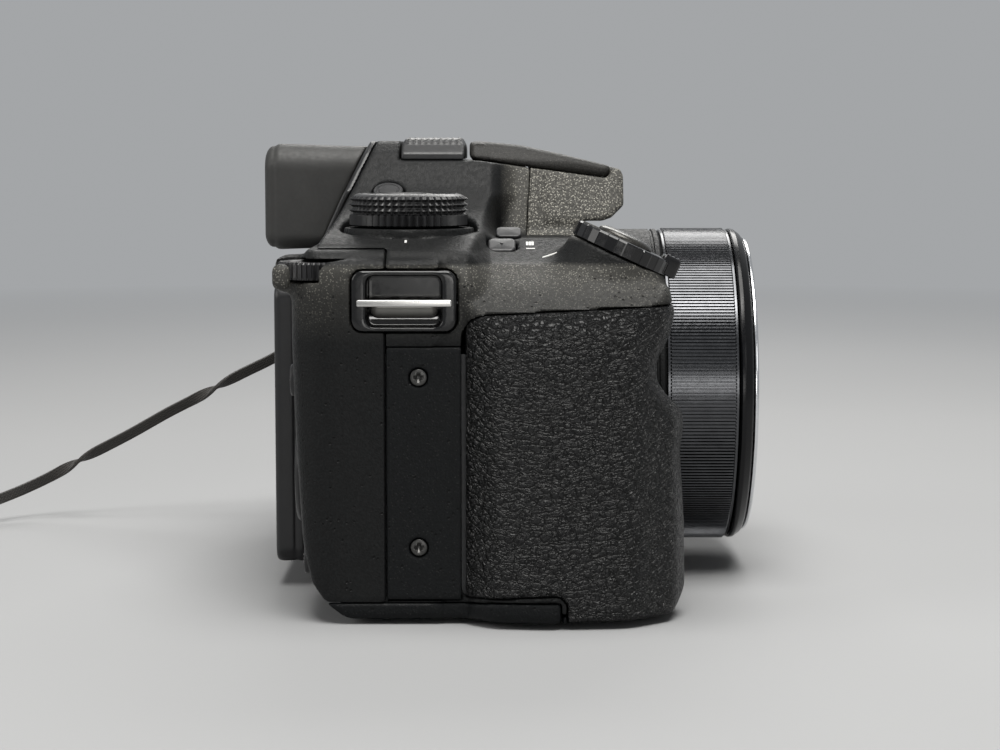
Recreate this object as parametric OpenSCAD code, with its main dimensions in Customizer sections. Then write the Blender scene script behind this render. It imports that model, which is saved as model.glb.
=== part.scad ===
// Bridge camera: fixed zoom lens, tilting monitor, pop-up flash and a tethered lens cap.
// Millimetres. +Z up, the lens looks along -Y, the hand grip is on the -X side.
// The origin is the mouth of the tripod socket, under the lens axis.

/* [Body] */
// From the lens axis to the grip-side wall
body_right = 67; // [65:0.5:70]
// From the lens axis to the far side wall
body_left = 49; // [47:0.5:52]
// Front face ahead of the tripod axis
body_front = 16; // [14:0.5:18]
// Rear face behind the tripod axis, at the monitor
body_rear = 35.5; // [34:0.5:37]
// How far the thumb side stands behind the monitor seat
thumb_bulge = 2.5; // [2:0.25:3]
// Thickness of the moulded covers
wall = 2.4; // [2:0.2:3]
// Thickness of the base cover
base_t = 2.4; // [2:0.2:3]
// Height of the deck under the mode dial
deck_z = 69.6; // [68:0.2:72]
// Height of the crease between deck and side
crease_z = 63.5; // [62:0.5:65]
// Height of the finder hump
hump_top = 86; // [84:0.5:88]
// Half width of the flat top of the hump
hump_half = 18; // [17:0.25:19]
// Seam between the rear cover and the covers ahead of it
seam_y = 20.2; // [19:0.2:22]
// Lower edge of the top cover above the grip
top_seam_z = 55; // [53:0.5:57]
// Upper edge of the rear cover
rear_seam_z = 66.4; // [65:0.2:68]

/* [Grip] */
// How far the grip bulges past the side wall
grip_bulge = 5.6; // [4:0.2:7]
// Reach of the grip ahead of the tripod axis
grip_reach = 34.6; // [32:0.2:37]
// Inner side of the grip, from the lens axis
grip_inner = 41; // [39:0.5:43]
// Depth of the finger notch
notch_depth = 5.2; // [3:0.2:6]
// Height of the finger notch
notch_z = 43; // [40:0.5:46]
// Thickness of the rubber skin
rubber_t = 1.2; // [1:0.1:1.6]

/* [Lens] */
// Height of the control ring above the base plane
ring_lift = 4.2; // [4:0.1:5]
// Outside radius of the control ring
ring_r = 31.9; // [31:0.1:32.5]
// Length of the control ring
ring_len = 13.9; // [12:0.1:16]
// Front end of the control ring, ahead of the tripod axis
ring_front = 46.2; // [45:0.2:48]
// Thickness of the control ring
ring_wall = 1.5; // [1.2:0.1:1.7]
// Wall of the barrels
barrel_wall = 1.2; // [1:0.1:1.3]
// Radial clearance of the turning and sliding lens parts
lens_gap = 0.08; // [0.05:0.01:0.1]
// Length of the fixed front bezel
bezel_len = 2.7; // [2:0.1:3.5]
// Length of the bright trim ring
trim_len = 0.9; // [0.6:0.1:1.2]
// Travel of each barrel stage
zoom_travel = 20; // [16:1:22]
// Travel of the variator group
variator_travel = 14; // [10:1:16]

/* [Finder] */
// Rear end of the eyecup
cup_rear = 46.3; // [45:0.2:48]
// Lower edge of the eyecup
cup_z = 64.4; // [64:0.1:65]
// Half width of the eyecup
cup_half = 20.4; // [19:0.2:22]
// Radius of the eyepiece lens
eye_r = 7; // [6.5:0.25:7.25]

/* [Flash] */
// Hinge line of the flash lid
lid_hinge_y = 3.9; // [3.5:0.1:4.5]
// Radius of the hinge barrel of the lid
lid_barrel_r = 2; // [1.8:0.1:2.2]
// Half width of the flash lid
lid_half = 19.4; // [18.8:0.1:19.6]
// Radius of the lid pins
lid_pin_r = 0.8; // [0.6:0.1:1]

/* [Monitor] */
// Width of the monitor
mon_w = 77; // [74:0.5:79]
// Height of the monitor
mon_h = 54.2; // [50:0.2:55]
// Thickness of the monitor
mon_t = 6.1; // [5:0.1:7]
// Lower edge of the monitor
mon_z = 4.3; // [4:0.1:5]
// Thickness of the hinge arm
arm_t = 1.2; // [1:0.1:1.5]
// Radius of the monitor hinge pins
mon_pin_r = 0.8; // [0.6:0.1:1]

/* [Controls] */
// Radius of the mode dial
dial_r = 11; // [10:0.2:11.6]
// Height of the mode dial
dial_h = 6; // [5:0.25:7]
// Mode dial centre, from the lens axis
dial_x = 45; // [44:0.25:46]
// Mode dial centre, behind the tripod axis
dial_y = 16.9; // [16:0.25:18]
// Radius of the zoom lever
lever_r = 9.2; // [8.6:0.1:9.4]
// Thickness of the zoom lever
lever_t = 2.4; // [2:0.1:3]
// Forward tilt of the shutter axis
shutter_tilt = 25; // [20:1:30]
// Radius of the shutter button
shutter_r = 5.3; // [4.8:0.1:5.5]
// Travel of the shutter button
shutter_travel = 0.9; // [0.6:0.1:1]
// Radius of the thumb dial
thumb_r = 7.5; // [7:0.1:7.6]
// Height of the thumb dial
thumb_h = 3.2; // [2.8:0.1:3.4]
// Radius of the small rear keys
key_r = 3; // [2.6:0.1:3.4]
// Radius of the four-way pad
pad_r = 9.5; // [8.5:0.25:10]
// Travel of the small keys
key_travel = 0.5; // [0.3:0.1:0.6]
// Gap round keys and dials
key_gap = 0.3; // [0.25:0.05:0.4]
// Running clearance of pins and shafts
pin_gap = 0.05; // [0.03:0.01:0.08]

/* [Strap lugs] */
// Length of the lug frame along the body
lug_len = 18.8; // [18:0.2:20]
// Height of the lug frame
lug_h = 11; // [10.6:0.1:12]
// Depth of the strap recess
lug_depth = 5.5; // [5:0.25:6]
// Thickness of the lug bar
lug_bar = 1.1; // [0.9:0.1:1.3]

/* [Battery bay] */
// Battery pack, across the body
batt_x = 18.5; // [17:0.5:19]
// Battery pack, front to back
batt_y = 31.8; // [28:0.2:32]
// Battery pack, height
batt_z = 45; // [40:0.5:46]
// Inner edge of the battery door, from the lens axis
door_inner = 38; // [37.5:0.25:39]
// Height of the side lip of the battery door
door_lip = 3.6; // [3.2:0.1:3.8]

/* [Lens cap] */
// Radius of the lens cap
cap_r = 30.6; // [30:0.2:31.5]
// Height of the lens cap
cap_h = 6; // [5:0.25:7]
// Width of the tether tape
tape_w = 2.6; // [2:0.1:3]

/* [Hidden] */
eps = 0.01;
big = 120;

// Points of an arc that rounds the corner b between a and c
function unit(v) = v / norm(v);
function turn(a) = a > 180 ? a - 360 : (a < -180 ? a + 360 : a);
function corner(a, b, c, r, n) =
    let (u = unit(a - b), v = unit(c - b))
    let (half = acos(max(-1, min(1, u * v))) / 2)
    let (d = min(r / tan(half), 0.49 * min(norm(a - b), norm(c - b))))
    let (m = b + unit(u + v) * d / cos(half))
    let (s = b + u * d - m, e = b + v * d - m)
    let (a0 = atan2(s[1], s[0]), sweep = turn(atan2(e[1], e[0]) - a0))
    [for (i = [0 : n]) m + norm(s) * [cos(a0 + sweep * i / n), sin(a0 + sweep * i / n)]];

// A polygon whose corner i is rounded by radius r[i]
function rounded(p, r, n = 5) =
    let (k = len(p))
    [for (i = [0 : k - 1]) each (r[i] > 0
        ? corner(p[(i + k - 1) % k], p[i], p[(i + 1) % k], r[i], n)
        : [p[i]])];

// The same polygon with every edge moved inward by d, for points that run anticlockwise
function normal_of(a, b) = let (t = unit(b - a)) [-t[1], t[0]];
function meet(p, u, q, v) =
    let (w = u[0] * v[1] - u[1] * v[0])
    p + u * ((q[0] - p[0]) * v[1] - (q[1] - p[1]) * v[0]) / w;
function inset(p, d) =
    let (k = len(p))
    [for (i = [0 : k - 1])
        let (a = p[(i + k - 1) % k], b = p[i], c = p[(i + 1) % k])
        meet(a + normal_of(a, b) * d, b - a, b + normal_of(b, c) * d, c - b)];

// Corner points of a rectangle, anticlockwise
function box2(x0, y0, x1, y1) = [[x0, y0], [x1, y0], [x1, y1], [x0, y1]];
function same(r, k) = [for (i = [1 : k]) r];

// A toothed round outline
function toothed(r, teeth, depth) =
    [for (i = [0 : 2 * teeth - 1])
        let (q = i % 2 == 0 ? r : r - depth)
        q * [cos(180 * i / teeth), sin(180 * i / teeth)]];

// A plain outline extruded along Y or X, from the first value to the second
module along_y(y0, y1) translate([0, y1, 0]) rotate([90, 0, 0]) linear_extrude(y1 - y0) children();
module along_x(x0, x1) translate([x0, 0, 0]) rotate([90, 0, 90]) linear_extrude(x1 - x0) children();
module block(x0, y0, z0, x1, y1, z1) translate([x0, y0, z0]) cube([x1 - x0, y1 - y0, z1 - z0]);
module rod_x(r, x0, x1, y, z) translate([x0, y, z]) rotate([0, 90, 0]) cylinder(r = r, h = x1 - x0);
module rod_y(r, y0, y1, x, z) translate([x, y1, z]) rotate([90, 0, 0]) cylinder(r = r, h = y1 - y0);
module rod_z(r, z0, z1, x, y) translate([x, y, z0]) cylinder(r = r, h = z1 - z0);
// A turned shape about the lens axis, drawn as radius and distance behind the tripod axis
module turned() translate([0, 0, lens_z]) rotate([-90, 0, 0]) rotate_extrude() children();

// Main positions
right = -body_right;
left = body_left;
front = -body_front;
rear = body_rear;
thumb = rear + thumb_bulge;
thumb_x = -33;
panel_front = 6.75;
panel_top = 49.4;
panel_low = 4.2;
panel_t = 1.2;

// Outlines of the body: from the front (X, Z), from the side (Y, Z) and from above (X, Y)
front_low = crease_z - 7;
deck_near = -(dial_x + dial_r);
deck_outline = [
    [right, 0], [left, 0], [left, crease_z - 5], [left - 5, deck_z - 3.5], [34, deck_z], [27, deck_z + 6],
    [22, hump_top - 2.5], [hump_half, hump_top], [-hump_half, hump_top], [-22, hump_top - 2.5],
    [-28, deck_z + 7.4], [-34, deck_z + 3], [-dial_x, deck_z], [deck_near, deck_z - 1.2],
    [right + 3.4, crease_z + 2.3], [right, crease_z - 4]];
fore_outline = [
    [right, 0], [left, 0], [left, front_low], [left - 5, crease_z - 1], [34, deck_z - 3],
    [24, deck_z - 0.9], [21.2, deck_z + 0.6], [20.4, hump_top - 7], [19.4, hump_top - 1.5],
    [-19.4, hump_top - 1.5], [-20.4, hump_top - 7],
    [-21.2, deck_z + 0.6], [-23.5, deck_z - 0.9], [-39.2, deck_z - 0.9], [-47, crease_z + 2.2], [-53, crease_z - 0.2],
    [right + 5, crease_z - 3], [right, front_low]];
slant_top = [25.6, hump_top];
slant_low = [rear, 64.4];
side_outline = [
    [front, 0], [rear, 0], slant_low, slant_top, [5, hump_top], [front, hump_top - 3]];
plan_outline = [[right, front], [left, front], [left, rear], [right, rear]];
ramp_outline = [[-4, -1], [rear + 9, -1], [rear + 9, 100], [6, 100], [5, deck_z + 2], [-4, 62]];
nose_y = -24.1;
nose_back = -9;
nose_outline = [
    [nose_back, hump_top - 15.8], [nose_back, hump_top - 2.8], [-12, hump_top - 3.3], [-22.3, hump_top - 5.4],
    [nose_y + 0.6, hump_top - 5.8], [nose_y, hump_top - 7], [nose_y, hump_top - 12.8], [-21.6, hump_top - 15.2],
    [-19.8, hump_top - 15.8]];

module body_mass() intersection() {
    union() {
        along_y(front, rear) polygon(fore_outline);
        intersection() {
            along_y(-4, rear) polygon(deck_outline);
            along_x(-big, big) polygon(ramp_outline);
        }
    }
    along_x(-big, big) polygon(side_outline);
    linear_extrude(big) polygon(rounded(plan_outline, [0, 7, 7, 8]));
}

// Thumb side of the rear, which stands back from the monitor seat, with its dial pod
thumb_side = [[10, 0], [31.4, 0], [35.4, 7], [37, 30], [thumb, 50], [thumb, 60], [rear, 64.8], [10, 64.8]];
thumb_plan = [[right, 10], [thumb_x, 10], [thumb_x, thumb], [right, thumb]];
pod_y = 40.6;
pod_x0 = -61;
pod_x1 = -44;
thumb_z = 62.6;
thumb_at = [-58.2, 32.4];
module thumb_mass() {
    intersection() {
        along_x(right, thumb_x) polygon(thumb_side);
        linear_extrude(big) polygon(rounded(thumb_plan, [0, 0, 1.2, 9]));
    }
    translate([0, 0, 58.6]) linear_extrude(6.2)
        polygon(rounded([[pod_x0, 25], [pod_x1, 25], [pod_x1, pod_y], [pod_x0, pod_y]], [0, 0, 4, 4]));
}

// Grip: plan outline cut by a side outline with the finger notch and by the sloping top
grip_x = right - grip_bulge;
grip_plan = [
    [-grip_inner, panel_front], [right, panel_front], [grip_x + 1, 1], [grip_x, -8], [grip_x + 1.4, -23],
    [-64.5, -grip_reach + 3.4], [-57.5, -grip_reach], [-50, -grip_reach + 2.4], [-44.5, -25],
    [-grip_inner, front]];
notch_y = -grip_reach + notch_depth + 1;
grip_side = [
    [panel_front, 0], [panel_front, 72], [-12, 68], [-25.5, 62.6], [-30.3, 59.6], [-31.2, top_seam_z],
    [notch_y, notch_z], [-grip_reach + 1.2, notch_z - 9.2], [-grip_reach + 2, 27.5],
    [-grip_reach, 5], [-31, 0]];
grip_top = [
    [-38, -1], [-38, 70], [-47, crease_z + 2.2], [-53, crease_z], [-63, crease_z - 2.8],
    [grip_x + 1.6, top_seam_z + 0.6], [grip_x - 1, 50], [grip_x - 1, -1]];
module grip_mass(d) intersection() {
    linear_extrude(big) polygon(inset(grip_plan, -d));
    along_x(-big, 0) polygon(inset(grip_side, -d));
    along_y(-big, big) polygon(grip_top);
}
module grip_skin_zone() difference() {
    block(-big, -big, base_t, -grip_inner, panel_front, top_seam_z);
    block(right + rubber_t, front + rubber_t, -1, 0, big, big);
}
module grip_rubber_solid() intersection() {
    difference() {
        grip_mass(0);
        grip_mass(-rubber_t);
        linear_extrude(door_lip + door_gap) door_shape(-door_gap);
    }
    grip_skin_zone();
}

// Room inside the covers
skin = rubber_t + wall;
grip_room_plan = [
    [-grip_inner - wall, front + wall + 1], [right, front + wall + 1], [grip_x + skin + 1, -21],
    [-63.5, -grip_reach + skin + 3], [-57.5, -grip_reach + skin + 0.8], [-51.5, -grip_reach + skin + 3],
    [-grip_inner - skin - 1.6, -22]];
grip_room_side = [
    [front + wall + 1, base_t + wall], [front + wall + 1, top_seam_z - 1], [-26.4, top_seam_z - 1],
    [notch_y + skin, notch_z], [-grip_reach + skin + 1.6, notch_z - 9.2],
    [-grip_reach + skin + 0.6, base_t + wall]];
cavity_xz = [
    [right + wall, base_t], [left - wall, base_t], [left - wall, front_low - wall], [left - 8, crease_z - 4.5],
    [26, deck_z - 3], [-26, deck_z - 3], [-40, crease_z + 1.5], [-50, crease_z - 3.4],
    [right + 7, crease_z - 7], [right + wall, front_low - 6]];
module cavity() {
    along_y(front + wall, rear - wall) polygon(cavity_xz);
    block(right + 5, rear - wall - eps, 8, thumb_x - 3, thumb - wall, 55);
    intersection() {
        linear_extrude(big) polygon(grip_room_plan);
        along_x(-big, 0) polygon(grip_room_side);
    }
    block(-15, 5, 60, 15, 23, hump_top - 7);
}

// Zones of the covers
top_zone = [
    [-big, top_seam_z], [panel_front, top_seam_z], [panel_front, panel_top], [seam_y, panel_top],
    [seam_y, rear_seam_z], [big, rear_seam_z], [big, big], [-big, big]];
low_zone = [
    [-big, base_t], [seam_y, base_t], [seam_y, panel_top], [panel_front, panel_top],
    [panel_front, top_seam_z], [-big, top_seam_z]];

// Lens sizes, from the outside in
lens_z = ring_r + ring_lift;
base_r = ring_r - 0.2;
ring_bore = ring_r - ring_wall;
sleeve_r = ring_bore - lens_gap;
sleeve_bore = sleeve_r - barrel_wall;
outer_r = sleeve_bore - lens_gap;
outer_bore = outer_r - barrel_wall;
inner_r = outer_bore - lens_gap;
inner_bore = inner_r - barrel_wall;
ring_rear = ring_front - ring_len;
ring_play = 0.2;
sleeve_front = ring_front + ring_play;
bezel_front = sleeve_front + bezel_len;
base_front = ring_rear - ring_play;
lens_back = 8;
base_wall_t = 2;
tube_r = 15;
tube_bore = 13;
inner_front = bezel_front + 0.1;
lip_r = inner_bore - 1.6;
lip_len = 2.4;
lens_hole_r = base_r + 0.15;
rod_r = 1;
rod_at = 19;

// Strap lugs
lug_y = 16.9;
lug_z = 57.5;
lug_plate_t = 1.3;
lug_in_len = lug_len - 5.8;
lug_in_h = lug_h - 2.2;
lug_wall = 1;
lug_proud = 0.3;
lug_foot = 0.7;
lug_bar_z = lug_z - 0.3;

// A frame outline on a side wall, in Y and Z
module lug_shape(l, h, r)
    polygon(rounded(box2(lug_y - l / 2, lug_z - h / 2, lug_y + l / 2, lug_z + h / 2), same(r, 4)));
module inward(x, s, d0, d1) along_x(min(x + s * d0, x + s * d1), max(x + s * d0, x + s * d1)) children();
module lug_pocket(x, s) {
    inward(x, s, -1, lug_plate_t - lug_proud) lug_shape(lug_len, lug_h, 2.2);
    inward(x, s, 0, lug_depth + lug_wall) lug_shape(lug_in_len + 2 * lug_wall, lug_in_h + 2 * lug_wall, 1.6);
}
module lug_frame(x, s) difference() {
    union() {
        inward(x, s, -lug_proud, lug_plate_t - lug_proud) lug_shape(lug_len, lug_h, 2.2);
        inward(x, s, 0, lug_depth + lug_wall)
            lug_shape(lug_in_len + 2 * lug_wall, lug_in_h + 2 * lug_wall, 1.6);
    }
    inward(x, s, -1, lug_depth) lug_shape(lug_in_len, lug_in_h, 1.4);
    for (q = [-1, 1])
        rod_x(lug_bar / 2 + pin_gap, x - 1, x + 1, lug_y + q * (lug_len / 2 - 1.6), lug_bar_z);
}
module lug_staple(x, s) {
    far = x - s * (lug_proud + 1.3);
    inward(far, s, 0, lug_bar)
        polygon(rounded(box2(lug_y - lug_len / 2 + 1.6 - lug_bar / 2, lug_bar_z - lug_bar / 2,
            lug_y + lug_len / 2 - 1.6 + lug_bar / 2, lug_bar_z + lug_bar / 2), same(0.4, 4)));
    for (q = [-1, 1])
        rod_x(lug_bar / 2, min(far, x + s * lug_foot), max(far, x + s * lug_foot),
            lug_y + q * (lug_len / 2 - 1.6), lug_bar_z);
}

// Side panel and screws
screw_y = 14.4;
screw_r = 0.85;
head_r = 1.5;
head_t = 0.8;
panel_screw_z = [44, 13.6];
module side_panel_shape() polygon(rounded(box2(panel_front, panel_low, seam_y, panel_top), same(0.4, 4)));
module panel_pocket() along_x(right - 1, right + panel_t) side_panel_shape();

// Base screws, from below
base_screw_at = [[43, -11], [43, 29], [-30, 29], [-30, -11]];
base_screw_len = 5;

// Battery door
door_front = -11;
door_rear = 31;
door_gap = 0.25;
door_hinge_z = 1.1;
door_hinge_x = -door_inner + 1.2;
edge_relief = 0.45;
door_plan = [
    [grip_x + 0.28, door_front], [-door_inner, door_front], [-door_inner, door_rear], [right + 4, door_rear],
    [right, 27], [right, panel_front], [grip_x + 1, 1], [grip_x, -8]];
module door_shape(d) polygon(inset(rounded(door_plan, [1.2, 0.6, 0.6, 3, 3, 0, 0, 0]), d));

// Monitor stack behind the rear face
stack_gap = 0.3;
arm_y = rear + stack_gap;
mon_y = arm_y + arm_t + stack_gap;
mon_x = 6.5;
knuckle_r = 1.6;
low_y = mon_y;
low_z = mon_z - knuckle_r - 0.3;
top_hinge_y = arm_y + knuckle_r;
top_hinge_z = mon_z + mon_h - 1.2;
arm_half = 27;
ear = 3;

// Keys on the rear
key_y = thumb;
pad_at = [-49.5, 25];
key_flange = 1;
board_y = rear - wall - 0.7;
movie_at = [-42.5, 53];
play_at = [-56, 42.5];
menu_at = [-58.5, 10.4];
delete_at = [-42, 10.4];

// Top controls
dial_seat = deck_z + 0.1;
shutter_at = [-53, -21.4, 64.9];
module at_shutter() translate(shutter_at) rotate([shutter_tilt, 0, 0]) children();
boss_r = 3.9;
stem_r = 2.4;
lever_lift = 0.3;
power_at = [-29.6, 21.4, 75.9];
power_tilt = -30;
power_r = 2.9;
module at_power() translate(power_at) rotate([0, power_tilt, 0]) children();
custom_at = [-47.4, -0.6, 65.5];
focus_at = [-41.2, -1.6, 68.2];
fore_tilt = -25;
module at_custom() translate(custom_at) rotate([0, fore_tilt, 0]) children();
module at_focus() translate(focus_at) rotate([0, fore_tilt, 0]) children();
diopter_at = [24.2, 29, 72];
diopter_r = 4.2;
diopter_t = 2.6;

// Flash lid outline: the seam falls towards the front
function seam_z(y) = hump_top - 5.4 + (y + 5.9) * 0.137;
lid_hinge_z = hump_top - 2.7;
lid_front = -22.1;
lid_nib = lid_front + 1.2;
lid_outline = [
    [lid_hinge_y, lid_hinge_z - lid_barrel_r], [lid_hinge_y, lid_hinge_z + lid_barrel_r],
    [-4, hump_top - 1.6], [-11.9, hump_top - 3.2], [lid_front, hump_top - 5.4], [lid_nib, seam_z(lid_nib)],
    [lid_hinge_y - 2, seam_z(lid_hinge_y - 2)]];
lid_front_view = [
    [-lid_half, hump_top - 12], [lid_half, hump_top - 12], [lid_half, hump_top - 3.4],
    [lid_half - 1.8, hump_top + 1], [1.8 - lid_half, hump_top + 1], [-lid_half, hump_top - 3.4]];
lid_gap = 0.3;
lid_ear_x = 9.7;
lid_ear_t = 2;
lens_top = lens_z + base_r;
flash_room = hump_top - 5.4 - lens_top;
bay_floor = lens_top + 0.3 * flash_room;
head_floor = bay_floor + 0.15 * flash_room;

// Cord route: far-side lug, round the rear corner, down to the cap on the table, then up over its edge
cap_at = [24, 158];
cord_route = [
    [48, 14, 55.4], [48, 14, 57.8], [50, 14, 59.7], [52.2, 14.4, 58.2], [52.4, 16, 55.6], [52.2, 22, 52.6],
    [52.2, 30, 49.6], [51.4, 38.5, 45], [50.2, 45.4, 40.4], [49.6, 51.7, 36.6], [49.5, 60.2, 32.4],
    [49.5, 68.5, 27.9], [49.5, 76.1, 24], [49.5, 85, 19], [49.5, 95, 13.8], [48.8, 102.4, 9.7],
    [46.5, 108.7, 6.8], [41.5, 114, 5], [34, 118.6, 3.9], [27, 121.4, 3.4], [24, 123, 3.3]];

module front_cover() color("DimGray") difference() {
    union() {
        difference() {
            intersection() {
                union() {
                    body_mass();
                    thumb_mass();
                }
                along_x(-big, big) polygon(low_zone);
            }
            grip_skin_zone();
        }
        intersection() {
            grip_mass(-rubber_t);
            block(-big, -big, base_t, 0, panel_front, top_seam_z);
        }
    }
    cavity();
    panel_pocket();
    rod_y(lens_hole_r, -big, 5, 0, lens_z);
    for (z = panel_screw_z) rod_x(screw_r + pin_gap, right, right + 6, screw_y, z);
    for (p = base_screw_at) rod_z(screw_r + pin_gap, -1, base_screw_len + 0.2, p[0], p[1]);
    linear_extrude(door_lip + door_gap) door_shape(-door_gap);
    lamp_pocket();
    switch_pocket();
}

module rear_cover() color("DimGray") difference() {
    union() {
        intersection() {
            union() {
                body_mass();
                thumb_mass();
            }
            block(-big, seam_y, base_t, big, big, rear_seam_z);
        }
        for (s = [-1, 1])
            low_ear(s);
    }
    difference() {
        cavity();
        block(right, 20, 57.4, -43, 60, big);
    }
    thumb_slot();
    lug_pocket(right, 1);
    lug_pocket(left, -1);
    for (p = base_screw_at) rod_z(screw_r + pin_gap, -1, base_screw_len + 0.2, p[0], p[1]);
    linear_extrude(door_lip + door_gap) door_shape(-door_gap);
    rod_y(pad_r + key_gap, rear - 6, thumb + 9, pad_at[0], pad_at[1]);
    for (p = [movie_at, play_at, menu_at, delete_at])
        rod_y(key_r + key_gap, rear - 6, thumb + 9, p[0], p[1]);
    rod_x(mon_pin_r + pin_gap, -big, big, low_y, low_z);
    connector_pocket();
}

// Knuckles of the rear cover that carry the lower monitor hinge
module low_ear(s) {
    x = mon_x + s * (arm_half + 0.3 + ear / 2);
    difference() {
        union() {
            rod_x(knuckle_r, x - ear / 2, x + ear / 2, low_y, low_z);
            block(x - ear / 2, rear - 1, max(base_t, low_z - knuckle_r), x + ear / 2, low_y, low_z + knuckle_r);
        }
        rod_x(mon_pin_r + pin_gap, x - ear, x + ear, low_y, low_z);
    }
}

module thumb_slot() {
    room = thumb_h / 2 + key_gap;
    rod_z(thumb_r + key_gap, thumb_z - room, thumb_z + room, thumb_at[0], thumb_at[1]);
    block(right - 1, 32.4, thumb_z - 2, thumb_at[0], pod_y + 1, thumb_z + 2.1);
    rod_z(1.2 + pin_gap, thumb_z - 4.2, thumb_z + big, thumb_at[0], thumb_at[1]);
}

module top_cover() color("Gray") difference() {
    union() {
        intersection() {
            union() {
                body_mass();
                grip_mass(0);
                at_shutter() translate([0, 0, -13]) cylinder(r = lever_r + 0.2, h = 13);
                rod_z(dial_r + 0.5, deck_z - 8, dial_seat, -dial_x, dial_y);
                thumb_mass();
            }
            along_x(-big, big) polygon(top_zone);
        }
        along_x(-20, 20) polygon(nose_outline);
        at_shutter() cylinder(r = boss_r, h = 1.4);
    }
    difference() {
        cavity();
        at_shutter() translate([0, 0, -6]) cylinder(r = lever_r, h = 9);
        rod_z(6, deck_z - 10, deck_z, -dial_x, dial_y);
        finder_tube();
    }
    rod_y(eye_r + pin_gap, 14, 60, 0, finder_z);
    lens_clear();
    lug_pocket(right, 1);
    lug_pocket(left, -1);
    at_shutter() translate([0, 0, -9]) cylinder(r = stem_r + pin_gap, h = 20);
    rod_z(2.5 + pin_gap, deck_z - 12, big, -dial_x, dial_y);
    rod_z(dial_r + 0.6, dial_seat, big, -dial_x, dial_y);
    at_power() key_hole(power_r);
    at_custom() key_hole(2.3);
    at_focus() key_hole(2.3);
    flash_bay();
    along_x(-mic_half - 3, mic_half + 3) polygon(inset(mic_outline, -0.15));
    block(-mic_half - 3, lid_hinge_y + 1.2, mic_low - 0.15, mic_half + 3, 8, big);
    diopter_slot();
    lamp_pocket();
}

// Hole of a key on the top, with a wider room below for its flange
module key_hole(r) {
    translate([0, 0, -9]) cylinder(r = r + key_gap, h = 18);
    translate([0, 0, -9]) cylinder(r = r + 0.35 + key_gap, h = 9 - wall);
}
module key_cap(r, proud) {
    translate([0, 0, -wall - 0.2]) cylinder(r = r, h = wall + 0.2 + proud);
    translate([0, 0, -wall - 0.2 - key_flange]) cylinder(r = r + 0.35, h = key_flange);
}
module rear_cap(p, r, proud) {
    rod_y(r, thumb - wall - 0.3, thumb + proud, p[0], p[1]);
    rod_y(r - 0.4, board_y + key_travel + 0.2, thumb - wall - 0.3, p[0], p[1]);
}

finder_z = hump_top - 12;
module finder_tube() rod_y(eye_r + 1.4, 15, 40, 0, finder_z);
module lens_clear() rod_y(lens_hole_r, -big, 5, 0, lens_z);

module flash_bay() {
    difference() {
        union() {
            along_x(-big, big) polygon([
                [lid_hinge_y, lid_hinge_z - lid_barrel_r - lid_gap], [lid_hinge_y, big], [lid_front - 0.5, big],
                [lid_front - 0.5, hump_top - 6], [lid_nib, seam_z(lid_nib) - lid_gap],
                [lid_hinge_y - 2, seam_z(lid_hinge_y - 2) - lid_gap]]);
            rod_x(lid_barrel_r + lid_gap, -big, big, lid_hinge_y, lid_hinge_z);
        }
        for (s = [-1, 1]) lid_ear(s, 0);
    }
    rod_x(lid_pin_r + pin_gap, -lid_ear_x - lid_ear_t - 1, lid_ear_x + lid_ear_t + 1, lid_hinge_y, lid_hinge_z);
    block(-14.4, -21.8, bay_floor, 14.4, -8, hump_top - 4);
}

// Ears of the top cover that carry the lid pin
module lid_ear(s, d) {
    x0 = s > 0 ? lid_ear_x - d : -lid_ear_x - lid_ear_t - d;
    x1 = x0 + lid_ear_t + 2 * d;
    rod_x(lid_barrel_r - 0.2 + d, x0, x1, lid_hinge_y, lid_hinge_z);
    block(x0, lid_hinge_y - 1.5 - d, hump_top - 8, x1, lid_hinge_y + 1.5 + d, lid_hinge_z);
}

mic_half = hump_half + 5.1;
mic_top = hump_top + 0.5;
mic_low = hump_top - 4;
mic_outline = [
    [6.4, mic_low], [19.3, mic_low], [19.3, mic_top - 0.9], [18.4, mic_top], [7.6, mic_top],
    [6.4, mic_top - 1.2]];
mic_front = [
    [-mic_half, mic_low], [mic_half, mic_low], [hump_half + 4.3, hump_top - 2.3], [hump_half + 0.2, mic_top],
    [-hump_half - 0.2, mic_top], [-hump_half - 4.3, hump_top - 2.3]];
module mic_cover() color("DarkSlateGray") intersection() {
    along_x(-mic_half, mic_half) polygon(mic_outline);
    along_y(-big, big) polygon(mic_front);
}

module diopter_slot() {
    rod_x(diopter_r + key_gap, diopter_at[0] - diopter_t - key_gap, 60, diopter_at[1], diopter_at[2]);
    rod_x(1 + pin_gap, diopter_at[0] - diopter_t - 3, 60, diopter_at[1], diopter_at[2]);
}
module diopter_wheel() color("Black") {
    translate([diopter_at[0] - diopter_t, diopter_at[1], diopter_at[2]]) rotate([0, 90, 0])
        linear_extrude(diopter_t) polygon(toothed(diopter_r, 36, 0.3));
    rod_x(1, diopter_at[0] - diopter_t - 2.8, diopter_at[0] - diopter_t + eps, diopter_at[1], diopter_at[2]);
}

module base_cover() color("DimGray") difference() {
    intersection() {
        union() {
            body_mass();
            thumb_mass();
            grip_mass(0);
        }
        block(-big, -big, 0, big, big, base_t);
    }
    linear_extrude(big) door_shape(-door_gap);
    door_knuckle(door_gap);
    rod_y(0.6 + pin_gap, -5.5, 25.5, door_hinge_x, door_hinge_z);
    rod_z(bush_r + pin_gap, -1, 9, 0, 0);
    for (p = base_screw_at) {
        rod_z(screw_r + pin_gap, -1, 9, p[0], p[1]);
        rod_z(head_r + 0.1, -1, head_t, p[0], p[1]);
    }
    rod_y(lens_hole_r, -big, 5, 0, lens_z);
    rod_x(knuckle_r + 0.3, -big, big, low_y, low_z);
}

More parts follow.
